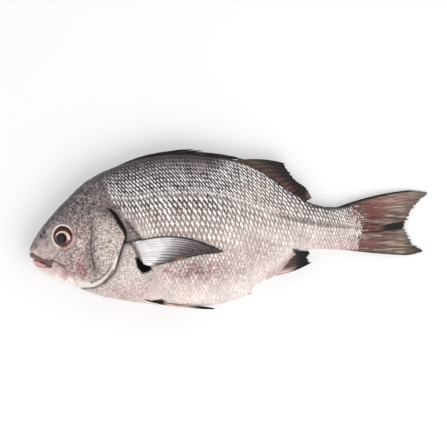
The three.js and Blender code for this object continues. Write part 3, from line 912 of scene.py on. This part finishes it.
class Flank:
    """Places on the flank by distance along the body and distance round it."""

    def __init__(self):
        self.x = np.linspace(30, TRUNK_END, 400)
        turns = np.linspace(0, np.pi, 500)
        outline = body_point(self.x[:, None], turns[None, :])
        steps = np.linalg.norm(np.diff(outline[..., 1:], axis=1), axis=2)
        arc = np.insert(np.cumsum(steps, axis=1), 0, 0, axis=1)
        self.total = arc[:, -1]
        self.share = np.linspace(0, 1, 400)
        rows = zip(self.total, arc)
        self.turn = np.array([np.interp(self.share * total, row, turns) for total, row in rows])
        level, up, down = section(self.x)
        offset = lateral_line(self.x) - level
        line_turn = np.arccos(np.clip(offset / np.where(offset > 0, up, down), -1, 1))
        self.line = np.array([np.interp(t, turns, row) for t, row in zip(line_turn, arc)])

    def turn_at(self, x, rise):
        """Turn and share of the way round at x, `rise` up from the lateral line."""
        total = np.interp(x, self.x, self.total)
        share = np.clip((np.interp(x, self.x, self.line) - rise) / total, 0, 1)
        i = np.clip((x - self.x[0]) / (self.x[1] - self.x[0]), 0, len(self.x) - 1.001)
        j = np.clip(share * (len(self.share) - 1), 0, len(self.share) - 1.001)
        i0, j0 = i.astype(int), j.astype(int)
        fi, fj = i - i0, j - j0
        low = self.turn[i0, j0] * (1 - fj) + self.turn[i0, j0 + 1] * fj
        high = self.turn[i0 + 1, j0] * (1 - fj) + self.turn[i0 + 1, j0 + 1] * fj
        return low * (1 - fi) + high * fi, share


def lean(x, y):
    """How far a column of scales has leaned forward at y."""
    up = np.maximum(y - LEAN_START, 0)
    less = 1 - 0.6 * smooth(x, 205, 240)
    return LEAN_AT_BACK * up**2 / (2 * LEAN_SPAN) * less


def scale_lattice(flank, lengths, pitches, rows, xi, eta):
    """Places of every point of the scales of some rows: x, turn and share round."""
    samples = np.linspace(20, 345, 1300)
    spacing = np.interp(samples, *zip(*lengths))
    count = np.append(0, np.cumsum(np.diff(samples) / spacing[1:]))
    c, r = np.meshgrid(np.arange(0, int(count[-1])), rows)
    c = (c + 0.5 * (r % 2)).ravel()[:, None, None] + xi[None]
    r = r.ravel()[:, None, None] + eta[None]
    straight = np.interp(c, count, samples)
    x = straight.copy()
    for _ in range(6):
        turn, share = flank.turn_at(x, r * np.interp(x, *zip(*pitches)))
        x = straight - lean(x, body_point(x, turn)[..., 1])
    return x, turn, share


def kept_scales(x, y, share, rng):
    """Which scales stay: none on the head, the ridges, the tail fin and the hollow."""
    ragged = rng.uniform(-1.2, 1.2, len(x))
    last = 271 + 6 * bell(y + 2, 12)
    keep = (x - scale_front(y) > ragged) & (rng.random(len(x)) > smooth(x - last, -10, 8))
    return keep & (share > 0.03) & (share < 0.994) & (depth_in(AXIL, x, y) < -3)


def crispness(x, y, rise):
    """How clearly the dark edges of the scales show."""
    crisp = 0.35 + 0.65 * smooth(rise, 0.06, 0.32)
    crisp *= 1 - 0.2 * smooth(x, 160, 190) * fade(rise, 0.4, 0.6)
    crisp = np.maximum(crisp, 0.9 * smooth(x, 226, 250))
    return crisp * (0.35 + 0.65 * smooth((x - scale_front(y)) / (13 - 10 * smooth(y, 2, 14))))


def scale_rows(flank, side, rng, lengths, pitches, rows, spread, lift):
    """Some rows of scales: their points, uv, tones and values, point by point."""
    t = np.linspace(0, 1, ALONG)
    eta = np.broadcast_to(np.linspace(-1, 1, ACROSS), (ALONG, ACROSS))
    rear = 0.5 * (1 - np.abs(eta) ** 1.5)
    xi = PLATE_FRONT + (rear - PLATE_FRONT) * t[:, None]
    x, turn, share = scale_lattice(flank, lengths, pitches, rows, xi, eta * spread)
    middle = np.s_[:, ALONG // 2, ACROSS // 2]
    keep = kept_scales(x[middle], body_point(x[middle], turn[middle])[..., 1], share[middle], rng)
    x, turn = x[keep], turn[keep]
    centre_x, centre_y = x[middle], body_point(x[middle], turn[middle])[..., 1]
    n = len(x)
    rise = rise_at(centre_x, centre_y)
    crisp = crispness(centre_x, centre_y, rise)
    tilt = (-0.25 + 0.62 * t)[None, :, None] * (0.55 + 0.45 * crisp)[:, None, None]
    dome = 0.12 * (1 - eta**2)[None] * t[None, :, None]
    over_fin = 0.9 * smooth(centre_x, 268, 277)[:, None, None]
    swell = tilt + dome + lift + over_fin + rng.uniform(-0.04, 0.04, n)[:, None, None]
    x = x + rng.uniform(-0.25, 0.25, n)[:, None, None]
    if side < 0:
        turn = 2 * np.pi - turn
    plate = body_point(x, turn, swell)
    skirt = body_point(x[:, -1:], turn[:, -1:], np.full_like(swell[:, -1:], -0.35))
    plate = np.concatenate([plate, skirt], axis=1)
    uv = np.stack([xi + 0.5, eta / 2 + 0.5], axis=-1)
    uv = np.concatenate([uv, uv[-1:]], axis=0)
    edge, bright = scale_tones(plate[..., 0], plate[..., 1])
    # A painted glint: each scale's middle is brightened or dimmed at random.
    painted_glint = rng.uniform(0.82, 1.16, n)[:, None, None, None]
    if len(rows) == 1:
        edge, bright = lateral_tones(edge, bright, plate[..., 0], eta[0])
    values = crisp, rng.random(n), 0.1 + 0.4 * smooth(rise, 0.45, 0.8)
    return (
        plate.reshape(-1, 3), np.broadcast_to(uv, (n, *uv.shape)).reshape(-1, 2),
        edge.reshape(-1, 3), (bright * painted_glint).reshape(-1, 3),
        *(np.repeat(value, (ALONG + 1) * ACROSS) for value in values),
    )


def lateral_tones(edge, bright, x, eta):
    """Tones of the lateral line: pale in front, a thin dark line towards the tail."""
    rear = smooth(x, 195, 215)[..., None]
    pored = 0.6 * rear * (np.abs(eta + 0.17) < 0.2)[None, None, :, None]
    edge = edge * rear + (0.4 * edge + 0.5 * bright) * (1 - rear)
    return edge * (1 - pored), bright * (1 - pored)


def build_scales(flank, side, material):
    """All scales of one side as one mesh of overlapping plates."""
    rng = np.random.default_rng(11 if side > 0 else 12)
    layers = [
        (LENGTH_ABOVE, PITCH_ABOVE, np.arange(1, 26), 1, 0.0),
        (LENGTH_LOWEST, PITCH_LOWEST, np.arange(-60, -12), 1, -0.03),
        (LENGTH_BELOW, PITCH_BELOW, np.arange(-8, 0), 1, 0.0),
        (LENGTH_ABOVE, PITCH_ABOVE, np.arange(0, 1), 0.8, 0.1),
    ]
    made = [scale_rows(flank, side, rng, *layer) for layer in layers]
    points, uv, tone, bright, crisp, luck, slant = (np.concatenate(part) for part in zip(*made))
    points[:, 2] = np.maximum(points[:, 2], RESTING_CUT + 0.02)
    one = np.array(grid_faces(ALONG + 1, ACROSS))
    if side < 0:
        one = one[:, ::-1]
    starts = np.arange(0, len(points), (ALONG + 1) * ACROSS)
    faces = (one[None] + starts[:, None, None]).reshape(-1, 4).tolist()
    name = "scales_left" if side > 0 else "scales_right"
    values = {"crisp": crisp, "luck": luck, "slant": slant}
    return add_mesh(name, points, faces, material, "scales", uv, values, tone=tone, bright=bright)


# Fins.

RAY_STEPS = 8  # points of a fin from one ray to the next


def curve_points(points, v):
    """Points at share v along a smooth curve through evenly counted points."""
    points = [(*p, 0.0)[:3] for p in points]
    at = np.arange(len(points)) / (len(points) - 1)
    return np.stack([spline(list(zip(at, [p[k] for p in points])))(v) for k in range(3)], axis=-1)


def blade_faces(steps, across):
    """Faces of a thin closed blade: its upper grid, its lower grid and its rim."""
    count = steps * across
    faces = grid_faces(steps, across)
    faces += [[f[3] + count, f[2] + count, f[1] + count, f[0] + count] for f in faces]
    for i in range(steps - 1):
        a, b = i * across, i * across + across - 1
        faces.append([a, a + count, a + across + count, a + across])
        faces.append([b, b + across, b + across + count, b + count])
    for j in range(across - 1):
        a, b = j, (steps - 1) * across + j
        faces.append([a, a + 1, a + 1 + count, a + count])
        faces.append([b, b + count, b + 1 + count, b + 1])
    return faces


def build_fin(name, seed, material, root, margin, bow, rays, notch, ragged, joints, skin, ray,
              taper, steps, height, tone, contrast=0.4, calm=0.1, whole=()):
    """A fin as one thin closed blade with ridged, branching rays and a ragged margin."""
    rng = np.random.default_rng(seed)
    gaps = rays - 1
    across = gaps * RAY_STEPS + 1
    v = np.linspace(0, 1, across)[None, :]
    u = np.linspace(0, 1, steps)[:, None]
    root, margin = curve_points(root, v[0]), curve_points(margin, v[0])
    between = np.sin(np.pi * v * gaps) ** 2
    twig = np.abs(np.sin(2 * np.pi * v * gaps))
    short = np.interp(v[0] * gaps, np.arange(rays), rng.uniform(0, ragged, rays))
    frays = smooth(np.minimum(v, 1 - v), 0.0, calm)
    for tip in whole:
        frays = frays * (1 - bell(v - tip, 0.05))
    split = rng.uniform(0.2, 1.0, gaps)[np.minimum((v[0] * gaps).astype(int), gaps - 1)]
    frayed = notch * between * split + 0.25 * notch * twig + short
    reach = u * (1 - u**2 * frayed * frays)
    grid = root[None] + (margin - root)[None] * reach[..., None]
    grid[..., 1] += (bow[0] * (1 - v) + bow[1] * v) * 4 * u * (1 - u)
    grid[..., 2] += height(grid[..., 0], grid[..., 1], u, v)
    normal = unit(np.cross(np.gradient(grid, axis=0), np.gradient(grid, axis=1)))
    main_ray = (0.5 + 0.5 * np.cos(2 * np.pi * v * gaps)) ** 2
    branch = (0.5 + 0.5 * np.cos(4 * np.pi * v * gaps)) ** 2
    branched = smooth(u, 0.35, 0.7)
    ridge = main_ray * (1 - 0.5 * branched) + branch * 0.6 * branched
    jointed = 0.9 + 0.1 * np.sin(u * joints * 2 * np.pi)
    thick = (skin + ray * ridge * jointed) * (1 - taper * u)
    half = normal * (thick / 2)[..., None]
    points = np.concatenate([(grid + half).reshape(-1, 3), (grid - half).reshape(-1, 3)])
    points[:, 2] = np.maximum(points[:, 2], RESTING_CUT + 0.05)
    tones = tone(grid[..., 0], grid[..., 1], u + 0 * v, v + 0 * u)
    tones = shaded(tones, 1 + contrast * (ridge - 0.5)).reshape(-1, 3)
    uv = np.stack(np.broadcast_arrays(v * gaps, u), axis=-1).reshape(-1, 2)
    return add_mesh(name, points, blade_faces(steps, across), material, "fins",
                    uv=np.tile(uv, (2, 1)), tone=np.tile(tones, (2, 1)))


def streaks(x, y, length, width, seed):
    return lumps(x / length, y / width, 1, seed)


def wavy(x, y, u, v):
    """Height of a fin that ripples towards its margin."""
    return mid_height(x) + u * 0.6 * np.sin(x / 7 + y / 9)


TAIL_TONES = [
    (0.0, (150, 128, 128)), (0.3, (152, 118, 110)), (0.6, (158, 136, 122)),
    (0.85, (150, 134, 122)), (1.0, (128, 116, 108)),
]
TAIL_ROOT_LINE = [(279, -7.4), (290, -7.2), (296, -6)]
# Where the lower lobe tucks under the upper one: darker fin skin with painted shade.
TAIL_FOLD_SHADE = [(291, -2.6), (303, 0.6), (316, 2), (316, -4.2), (304, -6), (291, -6.2)]


def tail_tone(x, y, u, v):
    blood = spot(x, y, (287, 13), (10, 7)) * (0.55 + 0.8 * lumps(x, y, 3, 25))
    bruise = spot(x, y, (279, 12), (6, 6)) * smooth(lumps(x, y, 1.1, 26), 0.25, 0.6)
    roots = smooth(streaks(x, y, 9, 0.9, 23), 0.3, 0.6) * spot(x, y, (284, 0), (12, 9))
    dots = smooth(lumps(x, y, 1.0, 24), 0.55, 0.75) * fade(x, 272, 286) * bell(y + 4, 13)
    rim = fade(np.minimum(v, 1 - v), 0.03, 0.08) * np.where(v < 0.5, 1, 0.5)
    return paint(
        0.92 * ramp(u, TAIL_TONES),
        ((80, 62, 56), 0.72 * smooth(streaks(x, y, 14, 0.45, 21), 0.35, 0.7)),
        ((212, 194, 180), 0.65 * smooth(streaks(x, y, 10, 0.55, 22), 0.6, 0.85)),
        ((152, 84, 80), 0.75 * np.minimum(blood, 1)),
        ((184, 140, 132), 0.4 * spot(x, y, (303, 19), (16, 6))),
        ((92, 46, 54), 0.75 * bruise),
        ((96, 22, 34), 0.9 * roots),
        ((132, 76, 78), 0.6 * spot(x, y, (280, -17), (13, 5))),
        ((240, 222, 226), 0.9 * dots),
        ((62, 14, 22), 0.85 * stroke(TAIL_ROOT_LINE, x, y, 0.8)),
        # Darker fin skin and painted shade of the fold under the upper lobe.
        ((16, 9, 9), 0.96 * patch(TAIL_FOLD_SHADE, x, y, 0.8) * smooth(x, 289, 299)),
        ((60, 48, 48), 0.85 * smooth(x, 310, 326) * smooth(-y, 10, 19)),
        ((104, 96, 94), 0.6 * smooth(x, 312, 328) * smooth(y, 19, 26)),
        ((20, 15, 16), 0.95 * rim),
    )


TAIL_FIN = dict(
    root=[(258, 14.2), (267, 8), (269, -3), (267, -14), (258, -21.2)],
    margin=[
        (317.8, 27.9), (327.4, 27), (FISH_LENGTH, 25), (325.4, 17.4), (319.6, 9.6),
        (316.2, 1.4), (314.2, -3.4), (317.6, -10), (322.2, -17.6), (328.2, -22.9),
        (321.6, -25.6), (314, -26.6),
    ],
    bow=(2.2, -0.8), rays=29, notch=0.06, ragged=0.04, joints=26, skin=1.0, ray=0.7,
    taper=0.75, steps=100, contrast=0.6, calm=0.3, whole=(0.18, 0.82), height=wavy,
    tone=tail_tone,
)

DORSAL_TONES = [
    (0.0, (112, 94, 92)), (0.25, (88, 66, 65)), (0.5, (52, 42, 43)), (1.0, (26, 21, 23)),
]


def dorsal_tone(x, y, u, v):
    return paint(
        ramp(u, DORSAL_TONES),
        ((104, 60, 60), 0.36 * bell(u - 0.3, 0.2) * bell(v - 0.5, 0.35)),
        ((96, 88, 72), 0.5 * fade(v, 0.1, 0.4) * fade(u, 0.3, 0.7)),
        (BLACK, 0.8 * spot(x, y, (224, 26), (5, 3.5))),
        ((170, 148, 136), 0.6 * spot(x, y, (234, 24), (3, 4))),
    )


SOFT_DORSAL = dict(
    root=[(166, 51.6), (188, 44), (207, 32), (220, 23.4), (228, 18)],
    margin=[(212, 50.4), (217.6, 42.4), (223.8, 34.6), (230.8, 29.8), (235.2, 21.2)],
    bow=(2.8, -0.4), rays=13, notch=0.05, ragged=0.03, joints=16, skin=0.5, ray=0.9,
    taper=0.5, steps=36, height=wavy, tone=dorsal_tone,
)
SPINY_TONES = [(0.0, (52, 44, 46)), (0.5, (92, 66, 62)), (1.0, (120, 98, 90))]
SPINY_DORSAL = dict(
    root=[(88, 50), (112, 55), (135, 55.6), (158, 52.6), (180, 48)],
    margin=[(104, 56.6), (128, 59.2), (146, 57.2), (164, 54), (186, 50.4)],
    bow=(0.6, 0.2), rays=11, notch=0.2, ragged=0.02, joints=0, skin=1.0, ray=1.0,
    taper=0.45, steps=26, height=lambda x, y, u, v: mid_height(x) + 0.5 * np.sin(40 * v),
    tone=lambda x, y, u, v: ramp(u, SPINY_TONES),
)
# Tips of the folded spines of the back, as (x, y, height over the mid-plane).
SPINE_TIPS = [
    (104, 58.2, -0.6), (114, 59.8, 0.7), (123, 60.8, -0.7), (129.4, 61.5, 0.7),
    (136.6, 61.7, -0.6), (144.8, 60.4, 0.8), (151.4, 58.4, -0.5), (158.8, 57.4, 0.7),
    (165.2, 56.6, -0.4), (173.4, 54.9, 0.5), (182, 52.4, 0),
]
SPINE_LENGTH = 31
SPINE_TONES = [(0, (44, 38, 40)), (0.5, (66, 52, 51)), (0.75, (30, 25, 26)), (1, (22, 18, 19))]


def build_spines(material):
    """The spines of the dorsal fin: long cones laid back along the ridge."""
    steps, around = 16, 10
    turn = 2 * np.pi * np.arange(around) / around
    ring = np.stack([np.zeros(around), np.cos(turn), np.sin(turn)], axis=-1)
    s = np.linspace(0, 1, steps)[:, None]
    radius = 1.15 * (1 - s) ** 0.55 + 0.12
    shades = ramp(s[:, 0], SPINE_TONES)
    shades = np.concatenate([np.repeat(shades, around, axis=0), shades[:1], shades[-1:]])
    points, faces = [], []
    for x, y, lift in SPINE_TIPS:
        foot = x - SPINE_LENGTH
        base = np.array([foot, float(back(foot)) - 1.2, float(mid_height(foot)) + 0.3 * lift])
        line = base + (np.array([x, y, float(mid_height(x)) + lift]) - base) * s
        line[:, 1:2] += 4.4 * s * (1 - s)
        tube = line[:, None] + radius[..., None] * ring[None]
        start = len(points) * (steps * around + 2)
        points.append(np.concatenate([tube.reshape(-1, 3), line[:1], line[-1:] + (0.4, 0, 0)]))
        faces += grid_faces(steps, around, closed=True, start=start)
        first = start + steps * around
        faces += fan_faces(first, start, around, inward=True)
        faces += fan_faces(first + 1, first - around, around)
    return add_mesh("dorsal_spines", np.concatenate(points), faces, material, "fins",
                    tone=np.tile(shades, (len(SPINE_TIPS), 1)))


ANAL_TONES = [
    (0.0, (112, 86, 88)), (0.3, (74, 56, 58)), (0.55, (34, 32, 34)), (1.0, (20, 21, 23)),
]


def anal_tone(x, y, u, v):
    root = fade(u + 0.3 * (lumps(x, y, 1.4, 31) - 0.5), 0.02, 0.3)
    short = fade(u, 0.4, 0.7)
    return paint(
        ramp(u, ANAL_TONES),
        ((22, 24, 26), 0.9 * smooth(v, 0.5, 0.75)),
        ((160, 124, 126), 0.85 * root * fade(v, 0.6, 0.8)),
        ((236, 204, 204), fade(v, 0.08, 0.3) * fade(u, 0.4, 0.68)),
        ((130, 96, 98), 0.3 * smooth(v, 0.15, 0.3) * fade(v, 0.35, 0.55) * short),
    )


ANAL_FIN = dict(
    root=[(197, -44.4), (208, -36.6), (215, -29), (220, -24), (225, -21.4)],
    margin=[(235.6, -32.4), (234, -30), (232.2, -27.8), (234.4, -25), (232.2, -22.6)],
    bow=(-2.6, -0.6), rays=10, notch=0.09, ragged=0.05, joints=12, skin=0.6, ray=0.9,
    taper=0.4, steps=30, height=wavy, tone=anal_tone,
)
PELVIC_TONES = [
    (0.0, (24, 18, 20)), (0.26, (26, 20, 22)), (0.34, (236, 196, 186)), (0.62, (226, 196, 186)),
    (0.75, (120, 104, 102)), (0.84, (26, 22, 24)), (1.0, (20, 17, 18)),
]


def pelvic_tone(x, y, u, v):
    return paint(ramp(u, PELVIC_TONES), ((40, 32, 34), 0.8 * smooth(v, 0.7, 0.95)))


def pelvic_fin(side):
    return dict(
        root=[(95.5, -62.6, 8.6 * side), (101, -64.6, 5.6 * side), (108, -65.9, 2.2 * side)],
        margin=[(154.3, -71.1, 6.2 * side), (151, -70, 4.8 * side), (141, -68.9, 3 * side)],
        bow=(-1.8, -1.6), rays=6, notch=0.06, ragged=0.03, joints=14, skin=0.7, ray=0.8,
        taper=0.4, steps=40, height=lambda x, y, u, v: mid_height(x), tone=pelvic_tone,
    )


# Tones from root to tip; the pale base of the fin also carries a painted highlight.
PECTORAL_TONES = [
    (0.0, (236, 234, 240)), (0.26, (248, 248, 252, 1.1)), (0.38, (240, 238, 246, 1.06)),
    (0.5, (202, 198, 206)), (0.64, (146, 139, 145)), (0.8, (112, 102, 104)), (1.0, (84, 72, 71)),
]


def pectoral_tone(x, y, u, v):
    lines = smooth(np.sin(v * 2 * np.pi * 11), -0.1, 0.9) * smooth(u, 0.3, 0.5)
    mottled = smooth(u, 0.6, 0.85) * smooth(lumps(x, y, 1.4, 32), 0.4, 0.7)
    tone = paint(ramp(u, PECTORAL_TONES), ((50, 44, 49), 0.75 * lines))
    return paint(
        shaded(tone, 0.88 + 0.24 * lumps(x, y, 3, 33)),
        ((46, 38, 40), 0.8 * mottled),
        ((96, 84, 88), 0.5 * smooth(v, 0.75, 1.0) * smooth(u, 0.3, 0.7)),
        ((18, 14, 16), 0.97 * fade(v, 0.02, 0.09) * smooth(u, 0.02, 0.1)),
        ((164, 134, 108), 0.75 * spot(x, y, (126, -30), (4.5, 3))),
    )


def pectoral_fin(side):
    def height(x, y, u, v):
        skin = smooth_max(mid_height(x) + side * flesh_depth(x, y), 0.0, RESTING_BLEND)
        stand = 0.5 + 1.1 * smooth(u, 0.05, 0.5) if side > 0 else 0.35
        return skin + side * stand

    return dict(
        root=[(88.2, -15.2), (91, -20.5), (93.4, -27), (95.4, -33.4)],
        margin=[
            (162, -23.4), (159.8, -24.3), (156, -24.9), (150.4, -25.4), (144, -26.2),
            (137, -27.6), (129.6, -29.4), (121, -31.6), (110, -33.8),
        ],
        bow=(8.2, -1.6), rays=16, notch=0.02, ragged=0.015, joints=24, skin=0.5, ray=0.5,
        taper=0.4, steps=60, contrast=0.25, height=height, tone=pectoral_tone,
    )


# Eyes.

def eye_tone(p, q):
    """Colours over an eyeball, p to the rear and q to the back of the eye's middle, with a painted sheen, a
    painted shadow under its rim and a painted reflection in the pupil.
    """
    pupil = np.hypot((p + 0.87) / 1.02, q + 1.58)
    iris = np.hypot(p + 0.1, q + 2.2)
    ball_edge = np.hypot(p, q / EYE_TALLNESS)
    crescent = smooth(pupil, 4.3, 4.6) * fade(iris, 6.4, 6.8)
    crescent = crescent * smooth(q + 0.3 * p, -1.7, -0.9)
    gold = spot(p, q + 0.6 * (p - 2.8), (2.8, 3.2), (2.2, 0.9))
    return paint(
        np.broadcast_to(srgb(104, 66, 68), (*p.shape, 3)),
        ((190, 142, 136), 0.85 * spot(p, q, (-7, 0.4), (1.3, 3.6))),
        # A painted sheen on the lower front of the iris.
        ((168, 142, 152), 0.85 * spot(p, q, (-6, -3.6), (1.6, 2.2))),
        ((172, 120, 122), 0.8 * spot(p, q, (4.6, -3.8), (2.2, 2))),
        # Dark iris under a painted shadow of the rim over the eye's upper part.
        ((66, 28, 24), 0.97 * smooth(iris, 6.5, 6.9) * smooth(q, -0.6, 1.4)),
        ((24, 8, 8), 0.95 * smooth(ball_edge, 7.0, 7.8) * smooth(q, 0, 4)),
        ((255, 226, 212, 1.12), crescent),
        ((206, 172, 96), 0.75 * gold * crescent),
        ((96, 74, 30), 0.7 * spot(p, q, (3, 5), (1.4, 0.9))),
        ((22, 10, 12), fade(pupil, 4.0, 4.5)),
        # A faint painted reflection in the pupil's middle.
        ((62, 68, 78), 0.85 * spot(p, q, (-0.5, -1.4), (2, 2))),
        ((64, 48, 70), 0.7 * spot(p, q, (-1, -4.8), (1.4, 1.4))),
        ((54, 16, 14), 0.9 * smooth(ball_edge, 7.2, 8.0) * fade(q, -5, -1)),
    )


def build_eye(side, material):
    offsets, faces = ball(40, 64)
    offsets = offsets * (EYE_RADIUS, EYE_RADIUS, EYE_DEPTH)
    centre, out = eye_place(side)
    turn = Vector((0, 0, 1)).rotation_difference(out)
    axes = np.array([turn @ Vector((1, 0, 0)), turn @ Vector((0, 1, 0)), out])
    points = np.array(centre) + offsets @ axes
    points[:, 1] = EYE_Y + (points[:, 1] - EYE_Y) * EYE_TALLNESS
    tone = eye_tone(points[:, 0] - EYE_X, points[:, 1] - EYE_Y)
    name = "left" if side > 0 else "right"
    piece = add_mesh("eyeball_" + name, points, faces, material, "eye", tone=tone)
    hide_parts("eye_" + name)


# Scene.

def build_fish():
    skin_paint, scale_paint, fin_paint = skin_material(), scale_material(), fin_material()
    flank = Flank()
    pieces = [build_skin(skin_paint), build_vent(skin_paint)]
    pieces += [build_scales(flank, side, scale_paint) for side in (1, -1)]
    fins = [
        ("tail_fin", TAIL_FIN), ("dorsal_fin_soft", SOFT_DORSAL),
        ("dorsal_fin_spiny", SPINY_DORSAL), ("anal_fin", ANAL_FIN),
        ("pelvic_fin_left", pelvic_fin(1)), ("pelvic_fin_right", pelvic_fin(-1)),
        ("pectoral_fin_left", pectoral_fin(1)), ("pectoral_fin_right", pectoral_fin(-1)),
    ]
    pieces += [build_fin(name, seed, fin_paint, **fin) for seed, (name, fin) in enumerate(fins, 1)]
    pieces.append(build_spines(fin_paint))
    for piece in pieces:
        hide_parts("fish")
    eye_paint = eye_material()
    for side in (1, -1):
        build_eye(side, eye_paint)


def build_floor():
    surface = Surface("pale_floor", 0.6)
    surface.set("Base Color", (0.56, 0.56, 0.56))
    surface.set("Emission Color", (1, 1, 1))
    surface.set("Emission Strength", 0.36)
    half = 1.5
    corners = [(-half, -half, 0), (half, -half, 0), (half, half, 0), (-half, half, 0)]
    mesh = bpy.data.meshes.new("floor")
    mesh.from_pydata(corners, [], [(0, 1, 2, 3)])
    mesh.materials.append(surface.material)
    floor = bpy.data.objects.new("floor", mesh)
    bpy.context.scene.collection.objects.link(floor)


def build_lamp():
    """One soft lamp over the belly's side."""
    data = bpy.data.lights.new("key", "AREA")
    data.shape = "SQUARE"
    data.size = 0.9
    data.energy = 8
    data.color = (1, 0.985, 0.965)
    lamp = bpy.data.objects.new("key", data)
    lamp.location = (0.35, -0.45, 1.0)
    lamp.rotation_euler = (-lamp.location).to_track_quat("-Z", "Y").to_euler()
    bpy.context.scene.collection.objects.link(lamp)


def build_sky():
    """A bright ring of sky with a dimmer part overhead."""
    world = bpy.data.worlds.new("studio")
    world.use_nodes = True
    sky = Nodes(world.node_tree)
    background = sky.tree.nodes["Background"]
    direction = sky.add("TexCoord", "Generated")
    upward = sky.add("SeparateXYZ", "Z", {0: direction})
    sky.feed(background.inputs["Strength"], sky.remap(upward, 0.6, 0.97, 1.08, 0.24))
    sky.feed(background.inputs["Color"], (1, 0.99, 0.98))
    bpy.context.scene.world = world
    bpy.context.scene.view_settings.view_transform = "Standard"


def build_camera():
    """Looks straight down, framed so that the photo's pixels fall on their places."""
    data = bpy.data.cameras.new("camera")
    data.sensor_width = 36
    distance = CAMERA_HEIGHT - (float(mid_height(MIDDLE_X)) - RESTING_CUT) * MM
    data.lens = data.sensor_width * distance / (PHOTO_SIDE * PHOTO_SCALE * MM)
    camera = bpy.data.objects.new("camera", data)
    x, y, _ = to_row([*photo_mm(PHOTO_SIDE / 2, PHOTO_SIDE / 2), 0])
    camera.location = (x, y, CAMERA_HEIGHT)
    bpy.context.scene.collection.objects.link(camera)
    bpy.context.scene.camera = camera


build_camera()
build_sky()
build_lamp()
build_floor()
build_fish()
